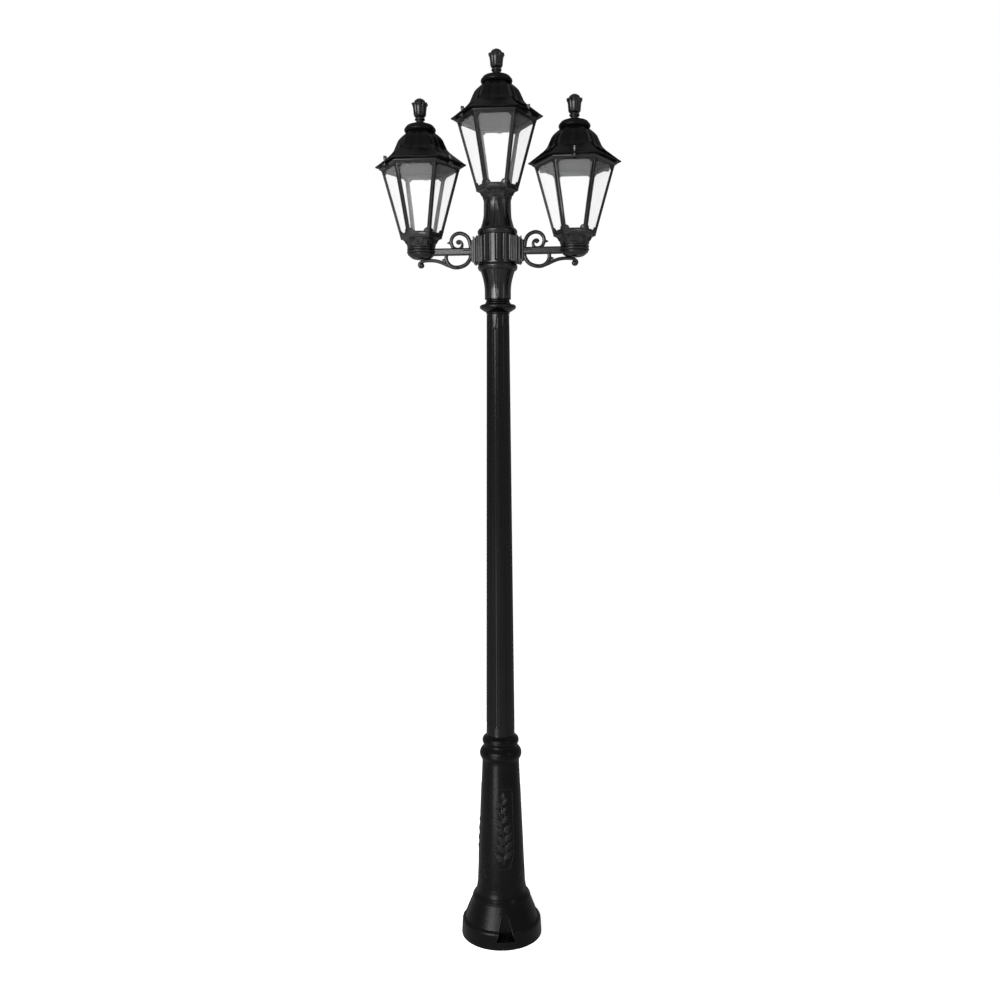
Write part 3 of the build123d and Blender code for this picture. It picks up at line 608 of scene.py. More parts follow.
def spray_height(u, v, low, high):
    """Climbing stem with paired leaves, bunches of berries and a leaf at its tip."""
    share = (v - low) / (high - low)
    stem = STEM_RISE * np.sqrt(np.clip(1.0 - ((u - stem_place(share)) / STEM_HALF) ** 2, 0.0, 1.0))
    height = np.where((share > 0.02) & (share < 0.95), stem, 0.0)
    for k in range(LEAF_PAIRS):
        at = low + (high - low) * (0.05 + 0.88 * k / LEAF_PAIRS)
        root_u = stem_place((at - low) / (high - low))
        size = 36.0 - 1.8 * k
        for side in (-1, 1):
            lean = side * (46.0 - 3.0 * (k % 3))
            root = (root_u, at + (7.0 if side > 0 else 0.0))
            height = np.maximum(height, leaf_height(u, v, root, lean, size, 0.52 * size))
        bunch = -1 if k % 2 else 1
        for i in range(BERRIES):
            zigzag = i % 2
            centre = (root_u + bunch * (8.0 + 4.4 * zigzag), at + 17.0 + BERRY_R * i - BERRY_R * zigzag)
            height = np.maximum(height, berry_height(u, v, centre))
    tip = leaf_height(u, v, root=(0.0, high - 22.0), lean=0.0, length=26.0, width=12.0)
    return np.maximum(height, tip)


def make_relief(turn, name):
    """Cast relief on one panel: a fine sheet, sunk under the shaft's face where it is bare."""
    places = np.linspace(-RELIEF_HALF, RELIEF_HALF, RELIEF_COLUMNS)
    levels = np.linspace(RELIEF_LOW, RELIEF_HIGH, RELIEF_ROWS)
    u, v = np.meshgrid(places, levels)
    rise = spray_height(u, v, RELIEF_LOW + RELIEF_EDGE, RELIEF_HIGH - RELIEF_EDGE)
    radius = shaft_radius(v) - RELIEF_SINK + rise
    angle = math.radians(turn) + u / shaft_radius(v)
    verts = np.stack([radius * np.cos(angle), radius * np.sin(angle), v], -1).reshape(-1, 3)
    wear(piece(name, grid_mesh(name, verts, RELIEF_ROWS, RELIEF_COLUMNS), 60.0), RELIEF_RESIN_PAINTED_HIGHLIGHT)


def panel_border():
    """Closed (across, z) path round a panel, widest low down."""
    waist_z = PANEL_LOW + 42.0
    shoulder_z = PANEL_HIGH - 8.0
    corners = [
        (-22.0, PANEL_HIGH), (22.0, PANEL_HIGH), (27.0, shoulder_z), (30.0, waist_z),
        (18.0, PANEL_LOW), (-18.0, PANEL_LOW), (-30.0, waist_z), (-27.0, shoulder_z),
    ]
    path = []
    for (x0, z0), (x1, z1) in zip(corners, corners[1:] + corners[:1]):
        steps = max(2, int(math.dist((x0, z0), (x1, z1)) / 5.0))
        for i in range(steps):
            share = i / steps
            path.append((x0 + (x1 - x0) * share, z0 + (z1 - z0) * share))
    return path


def shaft_lines(turn, name):
    """Fine raised border of one panel and the two short strokes of the gusset beside it."""
    border = [on_shaft(turn, across, z) for across, z in panel_border()]
    meshes = [tube("border", border, 1.5, 1.5, up=outward(turn), closed=True, sides=8)]
    gusset = turn + 180 / PANELS
    stroke_top = BELL_TOP + 78.0
    steps = 6
    for hand in (-1, 1):
        stroke = []
        for i in range(steps + 1):
            stroke.append(on_shaft(gusset, hand * (7.0 + 9.0 * i / steps), stroke_top - 24.0 * i / steps))
        meshes.append(tube("stroke", stroke, 1.8, 1.8, up=outward(gusset), sides=8))
    wear(merged(name, meshes, 60.0), RELIEF_RESIN_PAINTED_HIGHLIGHT)


def make_shaft():
    """Tapering shaft with the cove at its foot."""
    profile = outline(
        (SHAFT_FOOT_R - SHAFT_WALL, BELL_TOP), (SHAFT_FOOT_R, BELL_TOP),
        ((SHAFT_FOOT_R - 2.6, BELL_TOP + 10.4), (SHAFT_LOW_R + 0.9, SHAFT_LOW_Z)),
        (SHAFT_LOW_R, SHAFT_LOW_Z + 0.8), (SHAFT_HIGH_R, SHAFT_TOP), (SHAFT_HIGH_R - SHAFT_WALL, SHAFT_TOP),
    )
    stand_in(lathe("base_shaft_skin", refined(profile, 24.0), 128), "base_shaft", BASE_RESIN, 0.5)


# -------- the bell
BELL_LEVELS = [(111.5, 0.0), (109.4, 38.0), (101.4, 50.0), (79.6, 107.0)]
NICHE_FLOOR = 22.0
NICHE_SHOULDER = 80.0
NICHE_TOP = 88.0
NICHE_FLOOR_HALF = 25.0
NICHE_TOP_HALF = 8.0  # where the slanting sides would meet the top
NICHE_CROWN_HALF = 4.0
NICHE_BACK = 84.0
NICHE_DEPTH = 38.0
NICHE_LEAN = 0.04
BOLT_CIRCLE_R = 93.0
LIP_POINTS = 37
LIP_LOW = 27.0
LIP_RISE = 62.0


def niche_half(z):
    """Half width of a bolt niche at a height."""
    drawn_in = NICHE_FLOOR_HALF - NICHE_TOP_HALF
    return NICHE_FLOOR_HALF - drawn_in * (z - NICHE_FLOOR) / (NICHE_TOP - NICHE_FLOOR)


def niche_cutter(turn):
    """Wedge-shaped tool for one bolt niche, with a back wall that leans out."""
    floor = niche_half(NICHE_FLOOR)
    shoulder = niche_half(NICHE_SHOULDER)
    section = [
        (-floor, NICHE_FLOOR), (floor, NICHE_FLOOR), (shoulder, NICHE_SHOULDER),
        (NICHE_CROWN_HALF, NICHE_TOP), (-NICHE_CROWN_HALF, NICHE_TOP), (-shoulder, NICHE_SHOULDER),
    ]
    rings = []
    for out in (NICHE_BACK, NICHE_BACK + NICHE_DEPTH):
        rings.append([turned(turn, out + NICHE_LEAN * (z - NICHE_FLOOR), x, z) for x, z in section])
    return ring_mesh("niche", rings)


def niche_lip(turn, name):
    """Soft lip round the sides and top of one bolt niche, and the washer in it."""
    path = []
    for k in range(LIP_POINTS):
        share = k / (LIP_POINTS - 1) * 2 - 1
        z = LIP_LOW + LIP_RISE * (1 - abs(share) ** 1.25)
        across = math.copysign(min(niche_half(z) + 0.6, 60.0 * abs(share)), share)
        along = math.sqrt(radius_at(z, BELL_LEVELS) ** 2 - across**2) - 0.3
        path.append(turned(turn, along, across, z))
    taper = [0.4] + [1.0] * (LIP_POINTS - 2) + [0.4]
    lip = tube("lip", path, 3.6, 3.0, up=outward(turn, 0.3), taper=taper)
    section = raised([(6.2, 0.0), (11.5, 0.0), (11.5, 1.2), (6.2, 1.8)], NICHE_FLOOR)
    washer = ring_mesh("washer", polar_rings(section, even_angles(40)), loop=True)
    washer.transform(Matrix.Translation(Vector(outward(turn)) * BOLT_CIRCLE_R * MM))
    wear(merged(name, [lip, washer]), BASE_RESIN)


def make_bell():
    """Flared foot with its shoulder, double line and three open bolt niches."""
    profile = outline(
        (105.0, 0.0), (111.45, 0.0), (109.6, 37.0), ((107.4, 44.4), (101.4, 48.6)), (79.8, 105.8),
        ((80.5, 107.6), (78.8, 109.2)), ((78.9, 110.9), (77.4, 112.2)), (71.6, BELL_TOP), (62.0, BELL_TOP),
        (62.0, 76.0), (74.0, 60.0), (74.0, 10.0), (105.0, 10.0), arc=6,
    )
    obj = lathe("base_bell_skin", refined(profile, 20.0), 144)
    cut_by(obj, merged("niches", [niche_cutter(turn) for turn in PANEL_TURNS]))
    stand_in(obj, "base_bell", BASE_RESIN, 1.0)


def make_knop():
    """Knop between pole and capital: two fine rings over a keel and a neck bead."""
    profile = outline(
        (31.4, 0.0), (31.4, -3.0), (29.8, -4.2), ((32.4, -6.6), (30.4, -9.2)), ((34.8, -12.2), (33.2, -15.4)),
        (38.5, -17.0), ((48.6, -21.5), (45.0, -26.4)), (36.5, -32.0), (30.4, -35.2),
        ((31.6, -37.6), (29.2, -40.0)), (28.6, -42.0), (22.6, -42.0), (22.6, 0.0),
    )
    stand_in(lathe("pole_knop_skin", raised(profile, KNOP_TOP)[::-1], 96), "pole_knop", RESIN, 0.4)


def dress_base():
    make_bell()
    make_shaft()
    simple_copy("base_collar", BASE_RESIN)
    simple_copy("pole_sleeve", RESIN)
    make_knop()
    paint_node("foot_plate", ZINC_STEEL)
    paint_node("inner_mast", ZINC_STEEL)
    for k, turn in enumerate(PANEL_TURNS):
        make_relief(turn, f"leaf_relief_{k}")
        shaft_lines(turn, f"shaft_lines_{k}")
        niche_lip(turn, f"niche_lip_{k}")


# -------- the hub
DRUM_R = 46.2
DRUM_INSIDE_R = 30.0
DRUM_FLUTES = 16
FLUTE_HALF = 4.3
FLUTE_DEPTH = 3.8
FLUTE_FOOT = CAPITAL_TOP + 3.0
PAD_ROOT_X = 33.0
PAD_X = 56.0
PAD_HALF_Y = 27.0
PAD_GAP = 2.5  # from the drum's ends
REEDS_X = (39.6, 46.2, 52.6)
NECK_LEVELS = [
    (42.0, DRUM_TOP + 12.0), (36.5, NECK_TOP - 62.0), (34.6, NECK_TOP - 40.0), (34.0, NECK_TOP - 4.0),
]
NECK_RIDGES = 8
NECK_TURN = -97.5  # of the first ridge


def drum_shape(angles, r, z):
    """Round flutes with rounded feet between flat ridges."""
    if r < DRUM_R - 1.0:
        return np.full(len(angles), r)
    pitch = TAU / DRUM_FLUTES
    across = ((angles + TAU / 4 + pitch / 2) % pitch - pitch / 2) * DRUM_R
    below = max(0.0, FLUTE_FOOT + FLUTE_HALF - z)
    ending = math.sqrt(max(0.0, 1 - (below / FLUTE_HALF) ** 2))
    half = max(FLUTE_HALF * ending, NO_WIDTH)
    return r - FLUTE_DEPTH * ending * np.sqrt(np.clip(1 - (across / half) ** 2, 0, 1))


def make_drum():
    """Fluted drum with the two flat pads that carry the arms."""
    low, high = CAPITAL_TOP, DRUM_TOP
    steps = 8
    profile = [(DRUM_R, low), (DRUM_R, FLUTE_FOOT)]
    for k in range(1, steps + 1):
        profile.append((DRUM_R, FLUTE_FOOT + FLUTE_HALF * (1 - math.cos(math.pi / 2 * k / steps))))
    profile += [(DRUM_R, high - 2.0), (DRUM_R, high), (DRUM_INSIDE_R, high), (DRUM_INSIDE_R, low)]
    drum = lathe("hub_drum_skin", profile, DRUM_FLUTES * 28, drum_shape, sharp=28.0)
    pads = []
    for hand in (-1, 1):
        x = sorted((hand * PAD_ROOT_X, hand * PAD_X))
        pads.append(box_mesh("pad", x, PAD_HALF_Y, (low + PAD_GAP, high - PAD_GAP)))
        for across in (-1, 1):
            reed_y = across * (PAD_HALF_Y - 2.0)
            for at in REEDS_X:
                reed = [(hand * at, reed_y, z) for z in (low + 3.0, (low + high) / 2, high - 3.0)]
                pads.append(tube("reed", reed, 5.8, 7.6, up=(0, 1, 0), sides=16))
    pad = merged("hub_pads", pads)
    rounded(pad, 1.4, 3)
    for obj in (drum, pad):
        wear(obj, SATIN_RESIN_PAINTED_LIT)
        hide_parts("hub_drum")


def make_neck_ridges():
    """Thin upright ridges between the neck's hollows, each standing on a small ball."""
    low, high = DRUM_TOP + 15.0, NECK_TOP - 6.0
    steps = 12
    meshes = []
    for k in range(NECK_RIDGES):
        turn = 360 / NECK_RIDGES * k + NECK_TURN
        path = []
        for i in range(steps + 1):
            z = low + (high - low) * i / steps
            path.append(turned(turn, radius_at(z, NECK_LEVELS) + 1.5, 0.0, z))
        meshes.append(tube("ridge", path, 2.2, 2.6, up=outward(turn), sides=8))
        meshes.append(ball_mesh("ball", path[0], 2.3))
    wear(merged("neck_ridges", meshes, 50.0), SATIN_RESIN_PAINTED_LIT)


# -------- the arms
HUB_FACE_X = 62.0
BAR_H = 19.5
BAR_W = 13.0
SCROLL_W = 8.4
CUP_H = 32.0
CUP_LOW = SEAT["right"] - CUP_H
CUP_X = AXIS_X["right"]
ARM_Z = CUP_LOW + 17.5  # middle of the bar
TAIL_Z = CUP_LOW - ARM_Z - 4.2  # run under the cup, from the bar's middle
# The right arm's scrolls, in (x, height from the bar's middle).
UPPER_SCROLL = [
    (70.5, 8.0), (72.6, 14.0), (74.2, 25.0), (80.3, 38.4), (91.1, 46.3), (103.4, 48.8), (115.1, 44.7),
    (122.8, 35.3), (124.3, 24.4), (120.3, 13.4), (112.6, 7.8), (103.4, 7.2), (96.3, 11.9), (95.1, 19.7),
    (98.2, 25.9), (104.0, 28.4), (108.3, 25.9), (107.2, 22.8),
]
LOWER_SCROLL = [
    (70.0, -6.0), (71.8, -12.0), (76.0, -23.0), (86.5, -34.4), (103.4, -40.6), (118.8, -40.2),
    (129.5, -34.4), (135.7, -26.3), (138.2, -17.8), (137.8, -8.0),
]
TAIL = [
    (103.4, -40.6), (118.8, -40.0), (134.2, -35.0), (149.5, -28.0), (164.9, -23.2), (180.3, TAIL_Z),
    (195.7, TAIL_Z - 0.6), (205.8, -25.6), (211.2, -31.6), (208.4, -37.8), (203.6, -37.6),
]
THORNS = ((124.0, 24.4, -5.0), (138.5, -21.5, 6.0))  # x, height and lean in degrees
THORN_TAPER = (1.0, 1.0, 0.85, 0.7, 0.45, 0.1)
THORN_STEP = 2.4


def smooth_path(places, steps):
    """Catmull-Rom curve through a few (x, height from the bar's middle) places, at y 0."""
    points = [np.array((x, ARM_Z + z), float) for x, z in places]
    points = [2 * points[0] - points[1]] + points + [2 * points[-1] - points[-2]]
    result = []
    spans = len(points) - 3
    for k in range(spans):
        a, b, c, d = points[k : k + 4]
        for i in range(steps + (k == spans - 1)):
            t = i / steps
            bend = (2 * a - 5 * b + 4 * c - d) * t * t
            at = 0.5 * (2 * b + (c - a) * t + bend + (3 * b - a - 3 * c + d) * t**3)
            result.append((at[0], 0.0, at[1]))
    return result


def scroll_tube(name, places, steps, height, end, share):
    """Scroll that thins to an end size over the last share of its length."""
    path = smooth_path(places, steps)
    at = np.arange(len(path)) / (len(path) - 1)
    taper = 1.0 + (end - 1.0) * np.clip((at - 1 + share) / share, 0, 1) ** 1.5
    return tube(name, path, height, SCROLL_W, up=(0, 1, 0), taper=taper, sides=14)


def arm_blocks(side):
    """Rounded bar, the boss at its root and the stepped flange against the hub's pad."""
    z = ARM_Z
    root = HUB_FACE_X
    bar = merged("arm_bar_" + side, [
        box_mesh("bar", (root + 2.0, CUP_X - 24.0), BAR_W / 2, (z - BAR_H / 2, z + BAR_H / 2)),
    ])
    rounded(bar, 4.2, 5)
    boss = merged("arm_boss_" + side, [
        box_mesh("boss", (root - 1.0, root + 8.0), 9.0, (z - 27.0, z + 29.0)),
        box_mesh("rib", (root + 4.0, root + 30.0), BAR_W / 2 + 0.9, (z + 1.0, z + 4.5)),
    ])
    rounded(boss, 3.2, 4)
    plate = merged("arm_flange_" + side, [
        box_mesh("flange", (PAD_X + 0.3, root + 0.5), 24.0, (z - 33.5, z + 33.5)),
        box_mesh("step", (root - 2.0, root + 2.6), 17.0, (z - 30.0, z + 30.0)),
    ])
    rounded(plate, 1.9, 3)
    return [bar, boss, plate]


def arm_scroll(side):
    """Volute with its eye, brace, tail with its curl, and a thorn on volute and brace."""
    meshes = [
        scroll_tube("upper", UPPER_SCROLL, 6, 10.6, end=0.62, share=0.9),
        scroll_tube("lower", LOWER_SCROLL, 7, 10.8, end=0.92, share=0.5),
        scroll_tube("tail", TAIL, 7, 9.6, end=0.8, share=0.6),
        ball_mesh("eye", (104.6, 0, ARM_Z + 23.6), 4.9),
        ball_mesh("curl", (205.0, 0, ARM_Z - 34.6), 7.6, flat=0.8),
    ]
    for x, height, lean in THORNS:
        rise = math.tan(math.radians(lean)) * THORN_STEP
        count = len(THORN_TAPER)
        thorn = [(x + THORN_STEP * k, 0.0, ARM_Z + height + rise * k) for k in range(count)]
        meshes.append(tube("thorn", thorn, 9.0, 6.5, up=(0, 1, 0), taper=THORN_TAPER))
    return merged("arm_scroll_" + side, meshes, 60.0)


def make_arm(side):
    """Scrolled arm, made for the right and mirrored for the left."""
    for obj in (*arm_blocks(side), arm_scroll(side)):
        if side == "left":
            obj.data.transform(Matrix.Scale(-1, 4, (1, 0, 0)))
            obj.data.flip_normals()
        wear(obj, SATIN_RESIN_PAINTED_LIT)
        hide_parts("arm_" + side)


def make_cup(side):
    """Cup under a side lantern, with three rings and a domed foot."""
    profile = outline(
        (0.5, -CUP_H), (11.0, -CUP_H), ((26.5, -29.4), (33.6, -22.8)), (32.7, -22.2),
        ((36.4, -20.2), (34.0, -18.0)), (34.4, -17.6), ((39.0, -14.2), (35.6, -10.8)),
        (35.6, -10.0), ((38.6, -6.8), (36.6, -3.6)), (37.2, -2.6), (37.6, 0.0), (0.5, 0.0),
    )
    mesh = ring_mesh("cup", polar_rings(profile, even_angles(96)))
    obj = on_lantern("socket_cup", mesh, side, SATIN_RESIN_PAINTED_LIT, "post", "socket_cup_" + side)
    rounded(obj, 0.4)


def dress_hub():
    simple_copy("hub_capital", SATIN_RESIN_PAINTED_LIT, bevel=0.6)
    simple_copy("hub_neck", SATIN_RESIN_PAINTED_LIT, bevel=0.6)
    make_drum()
    make_neck_ridges()
    paint_node("terminal_block", BLOCK_WHITE)
    for side in ("left", "right"):
        make_arm(side)
        make_cup(side)
        paint_node("arm_screws_" + side, DARK_STEEL)


# -------- the lantern frame
FACE_TURNS = [FRONT + 60.0 * k for k in range(6)]
SILL_Z, SILL_R = 21.5, 54.6
TOP_Z, TOP_R = 200.0, 104.0
WINDOW_LOW, WINDOW_HIGH = 33.0, 200.5
POST_LEG = 6.2
EAR_R = 8.0
RAIL_Z = 30.6
SKIRT_LEVELS = [(37.6, 0.0), (39.2, 5.0), (44.2, 15.5), (52.8, 20.0), (SILL_R, SILL_Z)]
SHIELD_ROWS, SHIELD_COLUMNS = 15, 17
CURL_POINTS = 22


def frame_radius(z):
    """Circumradius of the lantern between its sill and its top."""
    return SILL_R + (z - SILL_Z) / (TOP_Z - SILL_Z) * (TOP_R - SILL_R)


def skirt_radius(z):
    """Circumradius of the lantern's foot below the sill."""
    return radius_at(z, SKIRT_LEVELS)


def on_face(turn, across, z, lift, radius=frame_radius):
    """Point on the lantern's face that looks out at a turn."""
    return turned(turn, radius(z) * COS30 + lift, across, z)


def window_path(inset):
    """(across, z) points round a window, with an ear in each corner."""
    low_x = frame_radius(WINDOW_LOW) / 2 - POST_LEG
    high_x = frame_radius(WINDOW_HIGH) / 2 - POST_LEG
    places = ((-low_x, WINDOW_LOW), (low_x, WINDOW_LOW), (high_x, WINDOW_HIGH), (-high_x, WINDOW_HIGH))
    corners = [Vector(place) for place in places]
    middle = sum(corners, Vector((0, 0))) / 4
    path = []
    ear_steps, side_steps = 8, 6
    for k, corner in enumerate(corners):
        back = (corners[k - 1] - corner).normalized()
        ahead = (corners[(k + 1) % 4] - corner).normalized()
        for i in range(ear_steps + 1):
            share = i / ear_steps
            direction = (back * (1 - share) + ahead * share).normalized()
            path.append(corner + direction * EAR_R)
        start = corner + ahead * EAR_R
        end = corners[(k + 1) % 4] - ahead * EAR_R
        for i in range(1, side_steps):
            path.append(start.lerp(end, i / side_steps))
    moved = []
    for place in path:
        inward = middle - place
        moved.append((place.x + inward.x / inward.length * inset, place.y + inward.y / inward.length * inset))
    return moved


def face_tube(name, turn, points, lift, width, height, closed=False, radius=frame_radius):
    """Bead along (across, z) points of a lantern face."""
    path = [on_face(turn, x, z, lift, radius) for x, z in points]
    return tube(name, path, width, height, up=outward(turn, -0.24), closed=closed, sides=8)


def hex_tube(name, radius, z, width, height):
    """Six-sided bead round the lantern."""
    corners = [np.array(turned(60 * k, radius, 0.0, z)) for k in range(7)]
    steps = 4
    path = [a + (b - a) * i / steps for a, b in zip(corners, corners[1:]) for i in range(steps)]
    return tube(name, path, width, height, closed=True)


def shield_mesh(turn):
    """Raised shield with a dished middle on one face of the foot."""
    verts = []
    for i in range(SHIELD_ROWS):
        v = i / (SHIELD_ROWS - 1)
        z = 1.2 + 17.3 * v
        half = (7.5 + 5.5 * math.sin(v * math.pi / 2)) * min(1.0, 0.55 + 3.0 * v)
        for j in range(SHIELD_COLUMNS):
            u = j / (SHIELD_COLUMNS - 1) * 2 - 1
            rim = max(0.0, (1 - u**6) * (1 - (2 * v - 1) ** 6))
            dish = 0.9 * (1 - u * u) * math.sin(v * math.pi)
            verts.append(on_face(turn, u * half, z, 2.3 * rim**0.5 - dish - 0.6, skirt_radius))
    return grid_mesh("shield", verts, SHIELD_ROWS, SHIELD_COLUMNS)


def curl_mesh(turn, hand):
    """Small volute beside the shield."""
    points = []
    for k in range(CURL_POINTS):
        share = k / (CURL_POINTS - 1)
        radius = 4.6 - 3.2 * share
        angle = math.radians(100) - hand * share * 1.35 * TAU
        points.append((hand * 17.0 + radius * math.cos(angle), 13.0 + radius * math.sin(angle)))
    return face_tube("curl", turn, points, 0.7, 2.2, 2.2, radius=skirt_radius)


def make_frame(side):
    """Lantern frame with slim posts and eared windows."""
    cutters = []
    for turn in FACE_TURNS:
        rings = [[on_face(turn, x, z, lift) for x, z in window_path(0.0)] for lift in (-8.0, 3.0)]
        cutters.append(ring_mesh("window", rings))
    obj = cad_copy("frame_" + side, "frame_skin_" + side)
    cut_on_lantern(obj, side, "windows", cutters)
    stand_in(obj, "frame_" + side, SATIN_RESIN_PAINTED_LIT, 0.5)


def frame_trim_mesh():
    """Beads round the windows, ridges on the posts, mouldings and the ornament of the foot."""
    meshes = []
    for turn in FACE_TURNS:
        meshes.append(face_tube("bead", turn, window_path(-1.0), 0.2, 2.6, 2.4, closed=True))
        meshes.append(face_tube("lip", turn, window_path(0.7), -2.0, 1.6, 2.2, closed=True))
        meshes.append(shield_mesh(turn))
        for hand in (-1, 1):
            meshes.append(curl_mesh(turn, hand))
        corner = turn + 30.0
        ridge = [turned(corner, frame_radius(z) - 0.3, 0.0, z) for z in np.linspace(SILL_Z, TOP_Z, 8)]
        meshes.append(tube("ridge", ridge, 2.6, 2.6, up=outward(corner + 90.0)))
    meshes.append(hex_tube("sill_bead", SILL_R + 0.2, SILL_Z + 0.4, 3.0, 3.4))
    meshes.append(hex_tube("rail_bead", frame_radius(RAIL_Z) + 0.2, RAIL_Z, 1.6, 1.8))
    meshes.append(hex_tube("top_bead", TOP_R + 0.6, TOP_Z - 0.6, 2.6, 2.4))
    meshes.append(hex_tube("foot_bead", 38.2, 1.3, 2.4, 2.4))
    work = merged("trim", meshes, 50.0)
    mesh = work.data
    bpy.data.objects.remove(work)
    return mesh


# -------- roofs and finials
ROOF_SEAT = 210.0
ROOF_PROFILE = [
    (121.7, ROOF_SEAT), (122.7, 211.3), (122.7, 213.0), (119.0, 215.3), (118.2, 214.9), (117.4, 216.2),
    (97.3, 231.0), (82.9, 240.9), (75.9, 247.5), (71.2, 253.0), (68.1, 259.9), (60.8, 276.0),
    (57.7, 281.5), (52.5, 287.0), (45.2, 293.6), (40.0, 298.0),
]
VENT_HOLE = [(6.0, 298.0), (6.0, 293.0)]
ROOF_INSIDE = [
    (42.0, 293.0), (56.0, 276.0), (67.0, 253.0), (79.0, 241.0), (100.0, 213.0), (100.0, ROOF_SEAT),
]
LOBE_EDGE = math.tan(math.radians(10.9)) / math.tan(math.radians(30))
DOME_Z = 233.0
DOME_TOP = 297.0
THUMB_RADIUS = 99.4
THUMB_SEAT = 219.5
POCKET_R = 9.6
SCREW_HOLE_R = 2.8
AXIS_GAP = 0.4  # a cutter's rings end this near its axis

FINIAL_FOOT = 322.0
PETALS = 6
CUP_START = 18.0
TIP_START = 43.0
PETAL_END = 55.0


def hexagon(angles, r, z):
    """Plain six-sided section."""
    return r * COS30 / np.cos((angles % (TAU / 6)) - TAU / 12)


def roof_shape(angles, r, z):
    """Six-sided section with rounded upright lobes above a scalloped line."""
    off = (angles % (TAU / 6)) - TAU / 12
    across = np.abs(np.tan(off) / math.tan(TAU / 12))
    face_lobe = np.clip(1 - (across / LOBE_EDGE) ** 2, 0, 1)
    corner_lobe = np.clip(1 - ((1 - across) / (1 - LOBE_EDGE)) ** 2, 0, 1)
    lobe = np.where(across < LOBE_EDGE, face_lobe, corner_lobe)
    start = DOME_Z + 9.0 * (1 - np.sqrt(lobe))
    rise = np.clip((z - start) / 3.0, 0, 1)
    fade = np.clip((DOME_TOP - z) / 8.0, 0, 1)
    return hexagon(angles, r, z) + rise * fade * (3.4 * lobe**0.55 - 2.4)


def roof_mesh():
    """Roof shell: lobed outside, plain inside, closed at the eave and under the cap."""
    angles = even_angles(6 * 42)
    rings = polar_rings(refined(ROOF_PROFILE, 2.0), angles, roof_shape)
    rings += polar_rings(VENT_HOLE, angles)
    rings += polar_rings(ROOF_INSIDE, angles, hexagon)
    return ring_mesh("roof_shell", rings, loop=True)


def make_roof(side, shell):
    """One roof, with a pocket and a hole for each thumb screw."""
    node = "roof_" + side
    obj = on_lantern("roof_dome", shell, side, ROOF_RESIN, node, node, 32.0)
    section = [
        (AXIS_GAP, ROOF_SEAT - 2.0), (SCREW_HOLE_R, ROOF_SEAT - 2.0), (SCREW_HOLE_R, THUMB_SEAT),
        (POCKET_R, THUMB_SEAT), (POCKET_R, THUMB_SEAT + 24.0), (AXIS_GAP, THUMB_SEAT + 24.0),
    ]
    cutters = []
    for k in range(3):
        mesh = ring_mesh("pocket", polar_rings(section, even_angles(40)))
        mesh.transform(Matrix.Translation(Vector(outward(FRONT + 120 * k)) * THUMB_RADIUS * MM))
        cutters.append(mesh)
    cut_on_lantern(obj, side, "pockets", cutters)
    rounded(obj, 0.5, 2, 32.0)


def finial_shape(angles, r, z):
    """Broad petals that part upwards and flare into pointed tips."""
    high = z - FINIAL_FOOT
    lobe = np.abs(np.cos((angles + TAU / 4) * PETALS / 2)) ** 0.7
    end = np.clip((PETAL_END - high) / 2.0, 0, 1)
    cup = np.clip((high - CUP_START) / 10.0, 0, 1) * end
    tip = np.clip((high - TIP_START) / 8.0, 0, 1) * end
    return r - cup * 2.0 * (1 - lobe) + tip * 2.4 * (lobe - 0.7)


def finial_mesh():
    """Tulip finial: foot, neck, bead, cup of petals and the bud in it."""
    profile = outline(
        (0.5, 0.0), (15.6, 0.0), (15.6, 2.2), ((10.0, 4.6), (9.6, 8.4)), ((13.8, 11.6), (10.6, 14.8)),
        (11.2, 16.4), ((15.6, 20.6), (17.4, 28.0)), ((18.2, 36.0), (18.9, 42.0)),
        ((20.0, 47.0), (22.4, 51.0)), (22.0, 52.0), (15.6, 53.6),
        ((13.8, 59.4), (9.0, 63.4)), ((4.6, 65.5), (0.5, 65.9)),
    )
    profile = refined(raised(profile, FINIAL_FOOT), 1.5)
    return ring_mesh("finial_tulip", polar_rings(profile, even_angles(PETALS * 20), finial_shape))


def dress_lanterns():
    trim = frame_trim_mesh()
    shell = roof_mesh()
    finial = finial_mesh()
    for side in SIDES:
        body = "roof_" + side
        make_frame(side)
        on_lantern("frame_trim", trim, side, SATIN_RESIN_PAINTED_LIT, "post", None, 50.0)
        make_roof(side, shell)
        simple_copy("vent_cap_" + side, ROOF_RESIN, body=body)
        on_lantern("finial_tulip", finial, side, SATIN_RESIN_PAINTED_LIT, body, "finial_" + side, 50.0)
        paint_node("diffuser_" + side, PANE)
        paint_node("lampholder_" + side, GLAZED)
        paint_node("gasket_" + side, RUBBER)
        paint_node("thumb_screws_" + side, DARK_STEEL)


dress_base()
dress_hub()
dress_lanterns()


# -------- studio
def area_light(name, place, target, size, power):
    """Soft rectangular lamp turned to a target."""
    data = bpy.data.lights.new(name, "AREA")
    data.shape = "RECTANGLE"
    data.size, data.size_y = size
    data.energy = power
    obj = bpy.data.objects.new(name, data)
    bpy.context.scene.collection.objects.link(obj)
    obj.location = place
    obj.rotation_euler = (Vector(target) - Vector(place)).to_track_quat("-Z", "Y").to_euler()


def seen_background(tree, seen, unseen):
    """One level for what is seen straight, in gloss or through glass, another for the rest."""
    path = tree.nodes.new("ShaderNodeLightPath")
    is_seen = path.outputs["Is Camera Ray"]
    for kind in ("Is Glossy Ray", "Is Transmission Ray"):
        either = tree.nodes.new("ShaderNodeMath")
        either.operation = "MAXIMUM"
        tree.links.new(is_seen, either.inputs[0])
        tree.links.new(path.outputs[kind], either.inputs[1])
        is_seen = either.outputs[0]
    level = tree.nodes.new("ShaderNodeMapRange")
    level.inputs["To Min"].default_value = unseen
    level.inputs["To Max"].default_value = seen
    tree.links.new(is_seen, level.inputs["Value"])
    return level.outputs["Result"]


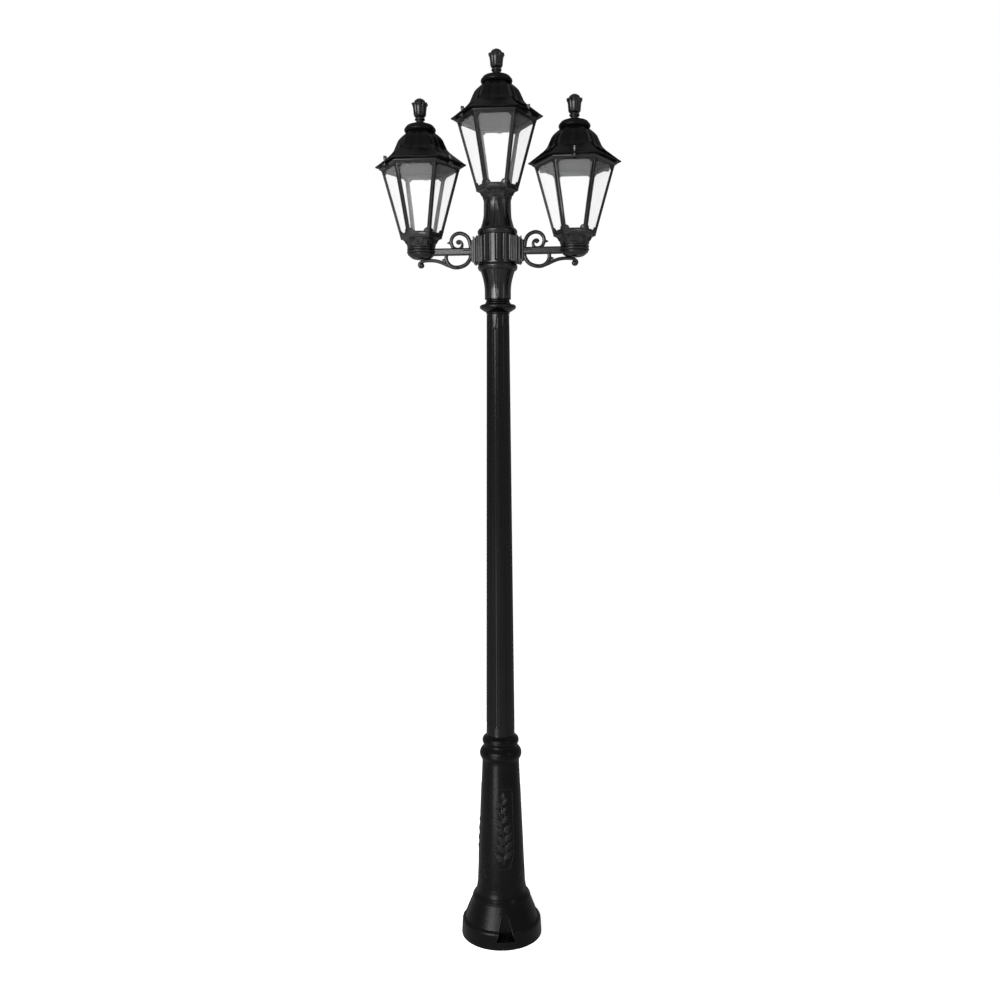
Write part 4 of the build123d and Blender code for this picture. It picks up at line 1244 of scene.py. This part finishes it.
def make_world():
    """White surroundings that light the post much less than they show."""
    world = bpy.data.worlds.new("studio")
    bpy.context.scene.world = world
    world.use_nodes = True
    background = world.node_tree.nodes["Background"]
    background.inputs["Color"].default_value = (1.0, 1.0, 1.0, 1.0)
    strength = seen_background(world.node_tree, seen=1.0, unseen=0.16)
    world.node_tree.links.new(strength, background.inputs["Strength"])


def make_floor():
    """Plain pale floor that glows only where it is seen or mirrored."""
    mesh = bpy.data.meshes.new("floor")
    half = 20.0
    corners = [(-half, -half, 0), (half, -half, 0), (half, half, 0), (-half, half, 0)]
    mesh.from_pydata(corners, [], [(0, 1, 2, 3)])
    floor = bpy.data.objects.new("floor", mesh)
    bpy.context.scene.collection.objects.link(floor)
    material, principled = shader("pale_floor", (0.86, 0.86, 0.86), roughness=0.9)
    principled.inputs["Specular IOR Level"].default_value = 0.1
    principled.inputs["Emission Color"].default_value = (1.0, 1.0, 1.0, 1.0)
    strength = seen_background(material.node_tree, seen=0.84, unseen=0.0)
    link(material, strength, principled.inputs["Emission Strength"])
    mesh.materials.append(material)


def make_camera():
    """Camera at the photograph's viewing angle."""
    data = bpy.data.cameras.new("camera")
    data.lens = CAMERA_LENS
    data.sensor_width = SENSOR_WIDTH
    data.sensor_fit = "HORIZONTAL"
    data.clip_end = 60.0
    camera = bpy.data.objects.new("camera", data)
    bpy.context.scene.collection.objects.link(camera)
    turn = Matrix.Rotation(CAMERA_AZIMUTH, 4, "Z")
    place = turn @ Vector((0, -CAMERA_DISTANCE, CAMERA_HEIGHT))
    pitch = Matrix.Rotation(math.pi / 2 - CAMERA_PITCH, 4, "X")
    roll = Matrix.Rotation(CAMERA_ROLL, 4, "Z")
    aim = Matrix.Rotation(CAMERA_AIM, 4, "Z")
    camera.matrix_world = Matrix.Translation(place) @ turn @ aim @ pitch @ roll
    bpy.context.scene.camera = camera


make_world()
make_floor()
make_camera()
area_light("key", place=(-4.2, -7.95, 3.15), target=(0, 0, 1.9), size=(8.2, 1.8), power=880.0)
area_light("spark", place=(-1.25, -2.6, 1.9), target=(0, 0, 1.75), size=(0.5, 0.6), power=34.0)
area_light("low", place=(-1.05, -1.75, 0.5), target=(0, 0, 0.6), size=(0.7, 0.8), power=10.0)
area_light("foot", place=(-0.48, -0.95, 0.15), target=(0, 0, 0.32), size=(0.42, 0.26), power=5.5)
area_light("fill", place=(2.7, -1.9, 2.1), target=(0, 0, 1.8), size=(0.5, 1.2), power=10.0)
area_light("top", place=(-0.6, -0.6, 4.9), target=(0, 0, 1.9), size=(2.2, 1.6), power=6.0)
bpy.context.scene.view_settings.view_transform = "Standard"
